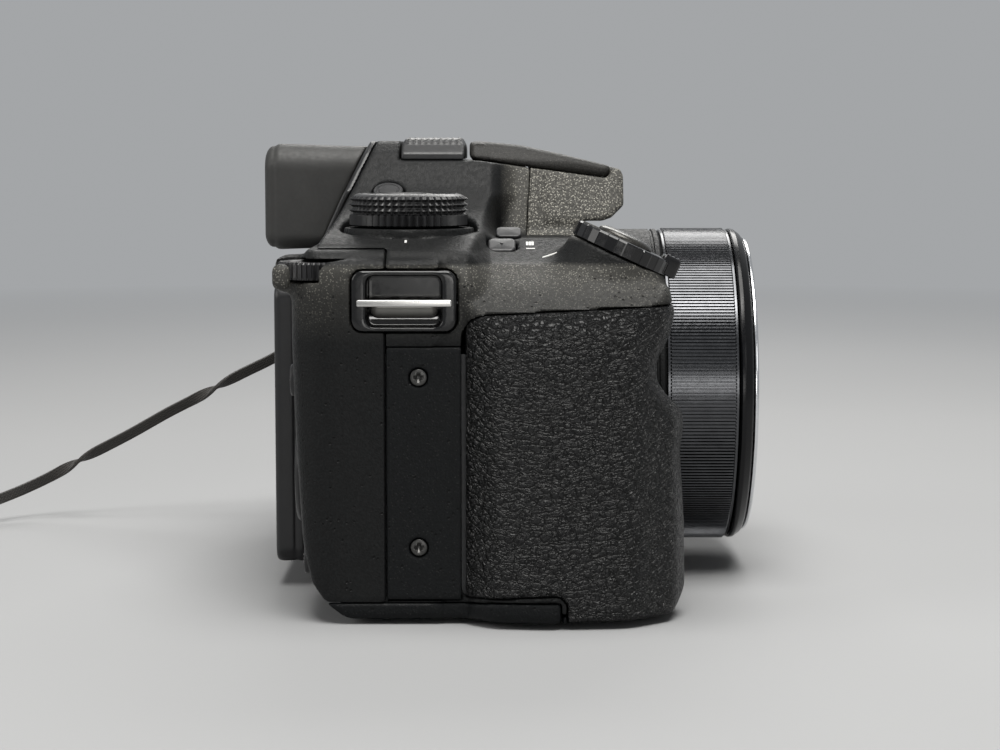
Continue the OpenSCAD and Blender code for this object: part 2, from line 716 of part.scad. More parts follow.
module door_knuckle(d)
    block(-door_inner - 1, -4 - d, -1, door_hinge_x + 1.1 + d, 24 + d, base_t + 1);

module grip_rubber() color("Black") grip_rubber_solid();

module side_panel() color("DimGray") difference() {
    along_x(right, right + panel_t) side_panel_shape();
    for (z = panel_screw_z) {
        rod_x(screw_r + pin_gap, right - 1, right + 9, screw_y, z);
        rod_x(head_r + 0.2, right - 1, right + head_t, screw_y, z);
    }
}

module case_screws() color("SlateGray") {
    for (z = panel_screw_z) {
        difference() {
            rod_x(head_r, right + 0.1, right + head_t, screw_y, z);
            block(right - 1, screw_y - 0.9, z - 0.2, right + 0.5, screw_y + 0.9, z + 0.2);
            block(right - 1, screw_y - 0.2, z - 0.9, right + 0.5, screw_y + 0.2, z + 0.9);
        }
        rod_x(screw_r, right + head_t, right + wall - 0.2, screw_y, z);
    }
    for (p = base_screw_at) {
        difference() {
            rod_z(head_r, 0.1, head_t, p[0], p[1]);
            block(p[0] - 0.9, p[1] - 0.2, -1, p[0] + 0.9, p[1] + 0.2, 0.5);
            block(p[0] - 0.2, p[1] - 0.9, -1, p[0] + 0.2, p[1] + 0.9, 0.5);
        }
        rod_z(screw_r, head_t, base_screw_len, p[0], p[1]);
    }
}

module lug_frame_right() color("Black") lug_frame(right, 1);
module lug_frame_left() color("Black") lug_frame(left, -1);
module lug_bars() color("Silver") {
    lug_staple(right, 1);
    lug_staple(left, -1);
}

// Tripod bush: a flanged metal socket with a threaded bore, seated in the base cover
bush_r = 6;
socket_r = 3.15;
socket_len = 5.5;
module tripod_socket() color("Silver") difference() {
    union() {
        rod_z(bush_r, 0, socket_len + 1, 0, 0);
        rod_z(bush_r + 2, base_t, base_t + 1, 0, 0);
    }
    rod_z(socket_r, -1, socket_len, 0, 0);
}

// Metal frame behind the lens, standing on the base
frame_y = 12.4;
frame_t = 1.2;
frame_top = lug_z - lug_h / 2 - 1;
module chassis() color("LightGray") difference() {
    union() {
        block(-39, frame_y, base_t, left - wall - 0.3, frame_y + frame_t, frame_top);
        for (x = [-34, 20]) block(x, frame_y, base_t, x + 12, frame_y + 9, base_t + frame_t);
        for (x = [-30, 30]) for (z = [14, 46]) rod_y(2, frame_y + frame_t, board_at, x, z);
    }
    block(-11, frame_y - 1, lens_z - 8.1, 11, frame_y + 3, lens_z + 7.9);
}
board_at = 17.6;
board_t = 1.4;
module circuit_boards() color("DarkGreen") {
    block(-37, board_at, 8, left - wall - 1.2, board_at + board_t, frame_top);
    block(-16, board_at + board_t, 26, 6, board_at + board_t + 1.2, 46);
    block(14, board_at + board_t, 34, 28, board_at + board_t + 1.2, 48);
    block(right + 8.6, board_y - 1, 6, thumb_x - 1, board_y, front_low - 0.1);
}
module image_sensor() color("MidnightBlue") {
    block(-10.5, lens_back + 0.4, lens_z - 7.5, 10.5, frame_y, lens_z + 7.5);
    block(-6, frame_y, lens_z - 4.1, 6, board_at - 0.3, lens_z + 3.9);
}

// Fixed lens base: collar, sleeve for the control ring, rear wall and rear tube
module lens_base() color("DimGray") turned() polygon([
    [base_r, -base_front], [base_r, -6], [tube_r, -6], [tube_r, lens_back], [tube_bore, lens_back],
    [tube_bore, -6 - base_wall_t], [sleeve_bore, -6 - base_wall_t], [sleeve_bore, -sleeve_front],
    [sleeve_r, -sleeve_front], [sleeve_r, -base_front]]);
module lens_ring() color("DarkSlateGray") turned() polygon([
    [ring_bore, -ring_rear], [ring_r - 0.4, -ring_rear], [ring_r, -ring_rear - 0.4],
    [ring_r, -ring_front + 0.4], [ring_r - 0.4, -ring_front], [ring_bore, -ring_front]]);
module front_bezel() color("Black") turned() polygon([
    [sleeve_bore, -sleeve_front], [ring_r - 0.1, -sleeve_front], [ring_r - 0.3, -sleeve_front - 1.2],
    [ring_r - 1.6, -bezel_front], [sleeve_bore, -bezel_front]]);
module outer_barrel() color("Black") turned() polygon([
    [outer_bore, -sleeve_front + 0.4], [outer_r, -sleeve_front + 0.4], [outer_r, -14], [outer_bore, -14]]);
module inner_barrel() color("Black") turned() polygon([
    [inner_bore, -12], [inner_bore, baffle_y - 4.6], [baffle_r, baffle_y], [baffle_r, baffle_y - 1],
    [inner_bore, baffle_y - 6], [inner_bore, -inner_front + lip_len], [lip_r, -inner_front + lip_len],
    [lip_r, -inner_front], [inner_r, -inner_front], [inner_r, -12]]);
module trim_ring() color("Silver") turned() polygon([
    [lip_r, -inner_front], [lip_r + 0.7, -inner_front - trim_len], [sleeve_bore + 0.6, -inner_front - trim_len],
    [sleeve_bore + 1, -inner_front - 0.4], [sleeve_bore + 1, -inner_front]]);
glass_r = inner_bore - 0.05;
glass_front = inner_front - lip_len - 1.7;
// Light baffle inside the front barrel, clear of the guide rods
baffle_r = rod_at + rod_r + 1.2;
baffle_y = -glass_front + 14.2;
module front_lens() color("LightSteelBlue") turned() polygon(concat(
    [for (i = [0 : 8]) [(glass_r - 1.2) * i / 8, -glass_front - 1.8 * (1 - pow(i / 8, 2)) + 0.9]],
    [[glass_r, -glass_front + 0.9], [glass_r, -glass_front + 6.4]],
    [for (i = [8 : -1 : 0]) [(glass_r - 1.2) * i / 8, -glass_front + 6.4 + 2.2 * (1 - pow(i / 8, 2))]]));
variator_y = -16;
module variator() color("SteelBlue") difference() {
    union() {
        turned() polygon([
            [0, variator_y + 1.5], [9, variator_y], [12, variator_y], [12, variator_y + 6], [9, variator_y + 6],
            [0, variator_y + 4.5]]);
        for (s = [-1, 1]) block(min(s * 11, s * (rod_at + 2.4)), variator_y, lens_z - 2.4,
            max(s * 11, s * (rod_at + 2.4)), variator_y + 6, lens_z + 2.4);
    }
    for (s = [-1, 1]) rod_y(rod_r + pin_gap, -60, 20, s * rod_at, lens_z);
}
module guide_rods() color("Silver")
    for (s = [-1, 1]) rod_y(rod_r, -37, -6 - base_wall_t, s * rod_at, lens_z);

// Finder: eyecup, eyepiece lens and display
cup_top = hump_top - 0.8;
module cup_wedge(d) polygon([
    [slant_low[0] + (cup_z - slant_low[1]) * -0.46 + 0.02, cup_z], [cup_rear - 1.6, cup_z],
    [cup_rear, cup_z + 1.6],
    [cup_rear, cup_top - 1.6], [cup_rear - 1.6, cup_top], [slant_top[0] + 0.4, cup_top]]);
module eyecup() color("Black") difference() {
    intersection() {
        along_x(-cup_half, cup_half) cup_wedge(0);
        along_y(20, 60) polygon(rounded(box2(-cup_half, cup_z, cup_half, cup_top), same(5, 4)));
    }
    along_y(20, 60) polygon(rounded(box2(-13, cup_z + 3, 13, cup_top - 2.8), same(4, 4)));
    along_x(-big, big) polygon(side_outline);
}
module eyepiece_lens() color("LightSteelBlue") rod_y(eye_r, 25, 30, 0, finder_z);
module finder_display() color("MidnightBlue") block(-7, 12, finder_z - 6, 7, 14.8, finder_z + 4);

// Battery, memory card and their door
batt_at = [right + wall + 0.4, -9.6];
module battery() color("DarkSlateGray")
    translate([batt_at[0], batt_at[1], base_t + 0.5]) cube([batt_x, batt_y, batt_z]);
module memory_card() color("Navy")
    block(right + wall + 0.6, 25, base_t + 0.5, right + wall + 22.6, 27.1, base_t + 32);
module flash_capacitor() color("Black") rod_z(4.2, base_t + wall, 44, -56.8, -19.8);
module battery_door() color("DimGray") difference() {
    union() {
        linear_extrude(base_t - 0.2) door_shape(0);
        intersection() {
            linear_extrude(door_lip) door_shape(0);
            block(-big, -big, 0, right + 1.6, big, big);
        }
        intersection() {
            union() {
                rod_y(1.1, -3.6, 23.6, door_hinge_x, door_hinge_z);
                block(-door_inner - 1, -3.6, 0, door_hinge_x, 23.6, 2.2);
            }
            block(-big, -big, 0, big, big, big);
        }
    }
    rod_y(0.6 + pin_gap, -40, 60, door_hinge_x, door_hinge_z);
    lock_slot(0.2);
    block(-door_inner - edge_relief, -big, -1, 0, -3.6, big);
    block(-door_inner - edge_relief, 23.6, -1, 0, big, big);
}
module door_pin() color("Silver") rod_y(0.6, -5.4, 25.4, door_hinge_x, door_hinge_z);
lock_at = [-61, -4];
module lock_slot(d) {
    block(lock_at[0] - 3 - d, lock_at[1] - 2 - d, -1, lock_at[0] + 3 + d, lock_at[1] + 5.2 + d, 1.2);
}
module door_lock() color("Gray")
    block(lock_at[0] - 3, lock_at[1] - 2, 0.15, lock_at[0] + 3, lock_at[1] + 2, 1.1);

// Monitor and its arm
module monitor_arm() color("DarkSlateGray") difference() {
    union() {
        block(mon_x - arm_half, arm_y, low_z, mon_x + arm_half, arm_y + arm_t, top_hinge_z);
        rod_x(knuckle_r, mon_x - arm_half, mon_x + arm_half, low_y, low_z);
        rod_x(knuckle_r, mon_x - arm_half, mon_x + arm_half, top_hinge_y, top_hinge_z);
    }
    rod_x(mon_pin_r + pin_gap, -big, big, low_y, low_z);
    rod_x(mon_pin_r + pin_gap, -big, big, top_hinge_y, top_hinge_z);
}
module monitor_pins() color("Silver") {
    for (p = [[low_y, low_z], [top_hinge_y, top_hinge_z]])
        rod_x(mon_pin_r, mon_x - pin_reach, mon_x + pin_reach, p[0], p[1]);
}
mon_wall = 1.4;
pin_reach = arm_half + ear;
panel_edge = top_hinge_z - knuckle_r - 2.4;
mon_back = mon_y + mon_t;
module monitor_case() color("Black") difference() {
    along_y(mon_y, mon_back)
        polygon(rounded(box2(mon_x - mon_w / 2, mon_z, mon_x + mon_w / 2, mon_z + mon_h), same(3, 4)));
    block(mon_x - arm_half - 0.3, mon_y - 1, top_hinge_z - knuckle_r - 0.6, mon_x + arm_half + 0.3,
        top_hinge_y + knuckle_r + 0.3, big);
    rod_x(mon_pin_r + pin_gap, mon_x - pin_reach - 0.2, mon_x + pin_reach + 0.2, top_hinge_y, top_hinge_z);
    block(mon_x - 34, mon_back - 1.2, mon_z + 3, mon_x + 34, mon_back + 1, mon_z + mon_h - 3);
    block(mon_x - 32, mon_y + mon_wall, mon_z + 4, mon_x + 32, mon_back, panel_edge + 0.2);
}
module monitor_panel() color("MidnightBlue")
    block(mon_x - 31.7, mon_y + mon_wall + 0.2, mon_z + 4.4, mon_x + 31.7, mon_back - 1.3, panel_edge);
module monitor_glass() color("Black")
    block(mon_x - 33.9, mon_back - 1.1, mon_z + 3.1, mon_x + 33.9, mon_back - 0.1, mon_z + mon_h - 3.1);

// Dials, lever and buttons on the top
module mode_dial() color("Black") {
    translate([-dial_x, dial_y, dial_seat + key_gap]) linear_extrude(dial_h) polygon(toothed(dial_r, 64, 0.4));
    rod_z(2.5, deck_z - 9, dial_seat + key_gap + eps, -dial_x, dial_y);
}
module zoom_lever() color("Black") at_shutter() difference() {
    union() {
        translate([0, 0, lever_lift]) cylinder(r = lever_r, h = lever_t);
        translate([0, 0, lever_lift]) linear_extrude(lever_t + 1.4)
            polygon(rounded([
                [-3, -lever_r + 1.4], [-1.6, -lever_r - 2], [1.6, -lever_r - 2], [3, -lever_r + 1.4]],
                [0.4, 0.8, 0.8, 0.4]));
    }
    translate([0, 0, -1]) cylinder(r = boss_r + pin_gap, h = 9);
    translate([0, 0, lever_lift + 1.2]) cylinder(r = shutter_r + key_gap, h = 9);
}
module shutter_button() color("DarkSlateGray") at_shutter() {
    translate([0, 0, 2.7]) rotate_extrude() polygon([
        [0, 0], [shutter_r, 0], [shutter_r, 0.7], [shutter_r - 1.3, 1.4], [0, 1.7]]);
    translate([0, 0, -8]) cylinder(r = stem_r, h = 10.8);
}
module custom_button() color("Black") at_custom() key_cap(2.3, 0.8);
module focus_button() color("Black") at_focus() key_cap(2.3, 0.8);
module power_button() color("Gray") at_power() key_cap(power_r, 0.5);

// Rear dial and keys
module thumb_dial() color("Black") {
    translate([thumb_at[0], thumb_at[1], thumb_z - thumb_h / 2]) linear_extrude(thumb_h)
        polygon(toothed(thumb_r, 48, 0.35));
    rod_z(1.2, thumb_z - 4, thumb_z + 3.6, thumb_at[0], thumb_at[1]);
}
pad_hole = 4.3;
module control_pad() color("Black") difference() {
    union() {
        rod_y(pad_r, thumb - 2, thumb + 0.8, pad_at[0], pad_at[1]);
        rod_y(6, board_y + 0.7, thumb - 2, pad_at[0], pad_at[1]);
    }
    rod_y(pad_hole, thumb - 1.2, thumb + 9, pad_at[0], pad_at[1]);
    rod_y(1.9, rear - 9, thumb + 9, pad_at[0], pad_at[1]);
}
module centre_button() color("DarkSlateGray") {
    rod_y(pad_hole - 0.4, thumb - 0.4, thumb + 1.2, pad_at[0], pad_at[1]);
    rod_y(1.5, board_y + key_travel + 0.2, thumb - 0.4, pad_at[0], pad_at[1]);
}
module movie_button() color("Black") rear_cap(movie_at, key_r, 0.7);
module play_button() color("Black") rear_cap(play_at, key_r, 0.7);
module menu_button() color("Black") rear_cap(menu_at, key_r, 0.7);
module delete_button() color("Black") rear_cap(delete_at, key_r, 0.7);

// Flash
module flash_lid() color("Gray") {
    difference() {
        intersection() {
            union() {
                along_x(-lid_half, lid_half) polygon(lid_outline);
                rod_x(lid_barrel_r, -lid_half, lid_half, lid_hinge_y, lid_hinge_z);
            }
            along_y(-big, big) polygon(lid_front_view);
        }
        for (s = [-1, 1]) lid_slot(s);
    }
    rod_x(lid_pin_r, -lid_ear_x - lid_ear_t - 1, lid_ear_x + lid_ear_t + 1, lid_hinge_y, lid_hinge_z);
}
module lid_slot(s) {
    x0 = s > 0 ? lid_ear_x - lid_gap : -lid_ear_x - lid_ear_t - lid_gap;
    block(x0, lid_hinge_y - 2.1, hump_top - 9, x0 + lid_ear_t + 2 * lid_gap, lid_hinge_y + 9, hump_top + 5);
}
module flash_head() color("WhiteSmoke") along_x(-13, 13) polygon([
    [-20.6, seam_z(-20.6)], [-19.6, head_floor], [-12.4, head_floor], [-11.4, seam_z(-11.4)]]);

// Front: lamp window and focus switch; far side: connector cover and sockets
lamp_at = [-36.5, 59];
module lamp_pocket() rod_y(3.1, front - 9, front + 1.6, lamp_at[0], lamp_at[1]);
module lamp_window() color("DarkRed") rod_y(3, front - 0.3, front + 1.6, lamp_at[0], lamp_at[1]);
switch_at = [42, 12];
module switch_pocket() translate([switch_at[0], front, switch_at[1]]) {
    block(-2.4, -9, -5, 2.4, 1, 5);
    block(-1.2, -9, -3.4, 1.2, 9, 3.4);
}
module focus_switch() color("Black") translate([switch_at[0], front, switch_at[1]]) {
    block(-2.1, -0.6, -2.6, 2.1, 0.8, 2.6);
    block(-0.9, 0.8, -1.2, 0.9, wall + 1, 1.2);
}
flap_y0 = 22.4;
flap_y1 = 31.4;
flap_z0 = 14;
flap_z1 = 40;
flap_t = 1.4;
module connector_pocket() {
    block(left - flap_t - 0.2, flap_y0 - 0.2, flap_z0 - 0.2, left + 3, flap_y1 + 0.2, flap_z1 + 0.2);
    block(left - 9, flap_y0 + 1.4, flap_z0 + 2, left + 3, flap_y1 - 3.2, flap_z1 - 2);
}
module connector_cover() color("DimGray") {
    block(left - flap_t, flap_y0, flap_z0, left - 0.1, flap_y1 - 0.9, flap_z1);
    rod_z(0.7, flap_z0, flap_z1, left - 0.7, flap_y1 - 0.9);
}
module socket_block() color("Silver") difference() {
    block(left - 9.4, board_at + board_t, flap_z0 + 3, left - wall - 0.4, flap_y1 - 4.4, flap_z1 - 3);
    block(left - 7, flap_y0 + 2, flap_z0 + 5, left, flap_y1 - 5.6, flap_z0 + 11);
    block(left - 7, flap_y0 + 2, flap_z0 + 13.4, left, flap_y1 - 5.6, flap_z1 - 5);
}

// Lens cap lying on the table, its eyelet, and the tether
spigot_r = lip_r - 0.12;
cap_tab = 4.4;
tab_y = cap_at[1] - cap_r - cap_tab;
cap_plate = 2;
module lens_cap() color("Black") difference() {
    union() {
        rod_z(cap_r, 0, cap_plate, cap_at[0], cap_at[1]);
        rod_z(spigot_r, cap_plate, cap_h, cap_at[0], cap_at[1]);
        block(cap_at[0] - 3.4, tab_y, 0, cap_at[0] + 3.4, cap_at[1], cap_plate);
    }
    rod_z(spigot_r - 1.4, cap_plate - 0.8, big, cap_at[0], cap_at[1]);
    block(cap_at[0] - 2, tab_y + 1.2, -1, cap_at[0] + 2, tab_y + 2.6, big);
}
function lerp(a, b, t) = a + (b - a) * t;
function smooth(p, i, t) =
    let (k = len(p) - 1)
    let (a = p[max(0, i - 1)], b = p[i], c = p[min(k, i + 1)], d = p[min(k, i + 2)])
    0.5 * (2 * b + (c - a) * t + (2 * a - 5 * b + 4 * c - d) * t * t + (3 * b - a - 3 * c + d) * t * t * t);
cord_steps = 4;
cord_line = concat(
    [for (i = [0 : len(cord_route) - 2]) for (j = [0 : cord_steps - 1]) smooth(cord_route, i, j / cord_steps)],
    [cord_route[len(cord_route) - 1]]);
module sweep(line, r) {
    k = len(line);
    rings = [for (i = [0 : k - 1])
        let (t = unit(line[min(k - 1, i + 1)] - line[max(0, i - 1)]))
        let (u = unit(cross(t, [1, 1, 0.3])), v = cross(t, u))
        [for (q = [0 : 7]) line[i] + r * (cos(45 * q) * u + sin(45 * q) * v)]];
    polyhedron(
        points = [for (g = rings) each g],
        faces = concat(
            [[for (q = [7 : -1 : 0]) q]],
            [for (i = [0 : k - 2]) for (q = [0 : 7])
                [i * 8 + q, i * 8 + (q + 1) % 8, (i + 1) * 8 + (q + 1) % 8, (i + 1) * 8 + q]],
            [[for (q = [0 : 7]) (k - 1) * 8 + q]]));
}
module cap_tether() color("Black") sweep(cord_line, tape_w / 2);

front_cover();
rear_cover();
top_cover();
base_cover();
grip_rubber();
side_panel();
case_screws();
lug_frame_right();
lug_frame_left();
lug_bars();
tripod_socket();
chassis();
circuit_boards();
lamp_window();
focus_switch();
image_sensor();
lens_base();
lens_ring();
front_bezel();
outer_barrel();
inner_barrel();
trim_ring();
front_lens();
variator();
guide_rods();
eyecup();
eyepiece_lens();
finder_display();
diopter_wheel();
mic_cover();
flash_lid();
flash_head();
flash_capacitor();
battery();
memory_card();
battery_door();
door_pin();
door_lock();
monitor_arm();
monitor_pins();
monitor_case();
monitor_panel();
monitor_glass();
mode_dial();
zoom_lever();
shutter_button();
custom_button();
focus_button();
power_button();
thumb_dial();
control_pad();
centre_button();
movie_button();
play_button();
menu_button();
delete_button();
connector_cover();
socket_block();
lens_cap();
cap_tether();
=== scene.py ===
import math

import bmesh
import bpy
import numpy as np
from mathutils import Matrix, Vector


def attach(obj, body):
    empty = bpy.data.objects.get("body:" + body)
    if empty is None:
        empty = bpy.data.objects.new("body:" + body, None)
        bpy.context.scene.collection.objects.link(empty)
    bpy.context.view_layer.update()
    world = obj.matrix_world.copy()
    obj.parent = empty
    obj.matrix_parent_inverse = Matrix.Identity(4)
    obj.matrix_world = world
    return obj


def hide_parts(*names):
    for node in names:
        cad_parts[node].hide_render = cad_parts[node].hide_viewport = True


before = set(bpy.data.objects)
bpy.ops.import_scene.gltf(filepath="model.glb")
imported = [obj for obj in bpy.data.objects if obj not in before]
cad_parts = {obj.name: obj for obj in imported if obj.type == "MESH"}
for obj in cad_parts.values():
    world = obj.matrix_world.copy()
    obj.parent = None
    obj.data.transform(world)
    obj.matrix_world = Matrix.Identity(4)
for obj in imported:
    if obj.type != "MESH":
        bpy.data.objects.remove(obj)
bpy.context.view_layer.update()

# Lengths are millimetres in the row frame up to piece(): X across the camera, -Y the lens side, Z up.
MM = 0.001
COVER_STEP = 0.5
DETAIL_STEP = 0.33
NUB_STEP = 0.26
TURN = 192

RIGHT, LEFT, FRONT = -67.0, 49.0, -16.0
PANEL_Y, SEAM_Y, PANEL_Z0, PANEL_Z1 = 6.75, 20.2, 4.2, 49.4
REAR_Z, BASE_T, WALL, HALF_SEAM = 66.4, 2.4, 2.2, 0.06
LENS_Z, HOLE_R, NOSE_HALF = 36.1, 31.85, 20.15
DIAL_AT, DIAL_SEAT, DIAL_Z = (-45.0, 16.9), 69.7, 70.0
SHUTTER_AT, SHUTTER_TILT = (-53.0, -21.4, 64.9), 25.0
POWER_AT, POWER_TILT, POWER_R = (-29.6, 21.4, 75.9), -30.0, 2.9
CUSTOM_AT, FOCUS_AT, FORE_TILT, FORE_R = (-47.4, -0.6, 66.0), (-41.2, -1.6, 68.2), -25.0, 2.3
THUMB_AT = (-58.2, 32.4)
PAD_AT, PAD_R, KEY_R = (-49.5, 25.0), 9.5, 3.0
KEYS = {"movie": (-42.5, 53.0), "play": (-56.0, 42.5), "menu": (-58.5, 10.4), "delete": (-42.0, 10.4)}
LUG_Y, LUG_Z, LUG_HALF_Y, LUG_HALF_Z = 16.9, 57.5, 9.4, 5.5
DIOPTER_AT = (24.2, 29.0, 72.0)
FINDER_Z, EYE_R = 74.0, 7.0
CAP_AT, CAP_R, TAB_LENGTH = (24.0, 158.0), 30.6, 4.4
TAB_Y = CAP_AT[1] - CAP_R - TAB_LENGTH
HINGE_Y, HINGE_Z = 3.9, 83.3
LAMP_AT, SWITCH_AT = (-36.5, 59.0), (42.0, 12.0)
FLAP_Y, FLAP_Z = (22.4, 31.4), (14.0, 40.0)
DOOR_PIN_X, DOOR_PIN_Z, LOCK_AT = -36.8, 1.1, (-61, 4)
SCREWS_PANEL = ((14.4, 44.0), (14.4, 13.6))
SCREWS_BASE = ((43, -11), (43, 29), (-30, 29), (-30, -11))
CUP_LOW, CUP_HIGH = (35.5, 64.4), (25.6, 86.0)

scene = bpy.context.scene


def make_camera():
    cam = bpy.data.objects.new("photo_camera", bpy.data.cameras.new("photo_camera"))
    scene.collection.objects.link(cam)
    cam.location = (-0.457, 0.0, 0.0841)
    cam.rotation_euler = (math.radians(90 - 5.8), 0, math.radians(-90))
    cam.data.sensor_width = 36
    cam.data.lens = 80.06
    cam.data.clip_start, cam.data.clip_end = 0.01, 50
    scene.camera = cam


make_camera()


# Materials

class Graph:
    """A material's nodes: each call adds one node and links or sets its inputs."""

    def __init__(self, name, color, rough, metal=0.0, spec=0.5):
        self.mat = bpy.data.materials.new(name)
        self.mat.use_nodes = True
        self.tree = self.mat.node_tree
        self.shader = self.tree.nodes["Principled BSDF"]
        self.at = self.tree.nodes.new("ShaderNodeTexCoord").outputs["Object"]
        self.shade(Base_Color=(*color, 1), Roughness=rough, Metallic=metal, Specular_IOR_Level=spec)

    def feed(self, node, **inputs):
        """Links or sets inputs by name (underscores for blanks) or by number (i0, i1 and so on)."""
        for key, value in inputs.items():
            sock = node.inputs[int(key[1:]) if key[1:].isdigit() else key.replace("_", " ")]
            if isinstance(value, bpy.types.NodeSocket):
                self.tree.links.new(value, sock)
            else:
                sock.default_value = value
        return node

    def shade(self, **inputs):
        self.feed(self.shader, **inputs)

    def add(self, kind, settings=None, **inputs):
        node = self.tree.nodes.new(kind)
        for key, value in (settings or {}).items():
            setattr(node, key, value)
        return self.feed(node, **inputs)

    def math(self, op, a, b):
        return self.add("ShaderNodeMath", {"operation": op}, i0=a, i1=b).outputs[0]

    def mix(self, share, a, b):
        return self.add("ShaderNodeMix", {"data_type": "RGBA"}, i0=share, i6=a, i7=(*b, 1)).outputs[2]

    def ramp(self, value, stops):
        node = self.add("ShaderNodeValToRGB", Fac=value)
        while len(node.color_ramp.elements) < len(stops):
            node.color_ramp.elements.new(0.5)
        for stop, (at, color) in zip(node.color_ramp.elements, stops):
            stop.position = at
            stop.color = (color,) * 3 + (1,) if isinstance(color, float) else (*color, 1)
        return node.outputs[0]

    def noise(self, scale, detail=2.0, at=None):
        node = self.add("ShaderNodeTexNoise", Vector=at or self.at, Scale=scale, Detail=detail)
        return node.outputs["Fac"]

    def cells(self, scale, feature="F1", at=None):
        return self.add("ShaderNodeTexVoronoi", {"feature": feature}, Vector=at or self.at, Scale=scale)

    def bump(self, height, strength, distance):
        node = self.add("ShaderNodeBump", Height=height, Strength=strength, Distance=distance)
        return node.outputs[0]


def scaled(color, k):
    return tuple(min(c * k, 1) for c in color)


def spots(g, scale, channel, chosen, across):
    """Round dots in those cells whose random value lies above the chosen range."""
    cells = g.cells(scale)
    value = g.add("ShaderNodeSeparateColor", Color=cells.outputs["Color"]).outputs[channel]
    pick = g.ramp(value, [(chosen[0], 0.0), (min(chosen[1], 1.0), 1.0)])
    return g.math("MULTIPLY", pick, g.ramp(cells.outputs["Distance"], [(across[0], 1.0), (across[1], 0.0)]))


def painted_light_zones(g):
    """Where light is painted on the shell: the fore deck and a band on the grip side's shoulder, where the
    light from above falls; and where it is pitted.
    """
    x, y, z = g.add("ShaderNodeSeparateXYZ", Vector=g.at).outputs
    height = g.math("MULTIPLY", z, 10.0)
    deck = g.math("MULTIPLY", g.ramp(height, [(0.675, 0.0), (0.70, 1.0)]),
                  g.ramp(g.math("MULTIPLY", y, -20.0), [(0.0, 0.0), (0.06, 1.0)]))
    # Painted highlight: a band on the rounded shoulder below the crease, lit from above, kept to the grip
    # side by near.
    band = g.ramp(height, [(0.50, 0.0), (0.58, 0.35), (0.62, 0.85), (0.634, 1.0), (0.639, 0.02)])
    near = g.ramp(g.math("MULTIPLY", x, -10.0), [(0.42, 0.0), (0.62, 0.78)])
    low = g.ramp(height, [(0.60, 1.0), (0.64, 0.1)])
    return g.math("MAXIMUM", deck, g.math("MULTIPLY", band, near)), low


def speckled(name, dark, light, grain, sparkle, pitted, bump, painted_lit=False):
    """Spark-eroded plastic: fine grain, bright flecks that are painted glints (on the shell only where light
    is painted, over a lighter painted base) and dark pits.
    """
    g = Graph(name, dark, 0.5, spec=0.16)
    fine = g.noise(grain, 3.0)
    # Bright flecks: painted glints of the light on the grain.
    painted_glint = spots(g, grain * 1.3, 0, (sparkle, sparkle + 0.12), (0.2, 0.55))
    pit = spots(g, grain * 0.55, 1, (pitted, pitted + 0.05), (0.15, 0.42))
    base = g.ramp(fine, [(0.36, scaled(dark, 0.6)), (0.56, dark), (0.75, scaled(dark, 1.5))])
    if painted_lit:
        painted_lit_share, low = painted_light_zones(g)
        painted_glint = g.math("MULTIPLY", painted_glint, painted_lit_share)
        pit = g.math("MULTIPLY", pit, low)
        # Painted light: a lighter base colour on the lit deck and shoulder band.
        base = g.mix(painted_lit_share, base, (0.084, 0.082, 0.075))
    relief = g.math("ADD", fine, g.math("MULTIPLY", painted_glint, 0.4))
    relief = g.math("SUBTRACT", relief, g.math("MULTIPLY", pit, 1.4))
    g.shade(Base_Color=g.mix(pit, g.mix(painted_glint, base, light), (0.002, 0.002, 0.002)),
            Roughness=g.ramp(g.noise(grain * 0.5), [(0.3, 0.40), (0.7, 0.58)]),
            Normal=g.bump(relief, bump, 0.00012))
    return g.mat


def leather(name):
    """Moulded rubber with a leather grain: flat uneven cells between narrow creases."""
    g = Graph(name, (0.003, 0.0032, 0.0035), 0.4, spec=0.34)
    wander = g.add("ShaderNodeTexNoise", Vector=g.at, Scale=420.0, Detail=3.0).outputs["Color"]
    moved = g.add("ShaderNodeMix", {"data_type": "VECTOR"}, i0=0.0022, i4=g.at, i5=wander).outputs[1]
    lie = g.add("ShaderNodeMapping", Vector=moved, Rotation=(0.35, 0, 0), Scale=(0.9, 0.72, 1.2)).outputs[0]
    edge = g.cells(640.0, "DISTANCE_TO_EDGE", lie).outputs["Distance"]
    fine = g.cells(1180.0, "DISTANCE_TO_EDGE", lie).outputs["Distance"]
    plate = g.ramp(edge, [(0.0, 0.0), (0.10, 0.75), (0.3, 1.0)])
    height = g.math("ADD", plate, g.math("MULTIPLY", g.ramp(fine, [(0.0, 0.0), (0.14, 1.0)]), 0.45))
    height = g.math("ADD", height, g.math("MULTIPLY", g.noise(3400.0), 0.15))
    # Base colour darker in the creases: painted shade.
    g.shade(Base_Color=g.ramp(plate, [(0.0, (0.002, 0.002, 0.002)), (0.8, (0.0036, 0.0038, 0.0041))]),
            Roughness=g.ramp(g.noise(900.0), [(0.3, 0.31), (0.7, 0.43)]), Normal=g.bump(height, 1.0, 0.00052))
    return g.mat


def satin(name, color, rough, grain, bump, metal=0.0, spec=0.5):
    """A near-plain finish with a faint fine grain and small changes of gloss."""
    g = Graph(name, color, rough, metal, spec)
    fine = g.noise(grain)
    g.shade(Base_Color=g.ramp(g.noise(grain * 0.2), [(0.3, scaled(color, 0.88)), (0.7, scaled(color, 1.1))]),
            Roughness=g.ramp(fine, [(0.3, max(rough - 0.05, 0.02)), (0.7, min(rough + 0.07, 1.0))]))
    if bump:
        g.shade(Normal=g.bump(fine, bump, 0.00004))
    return g.mat


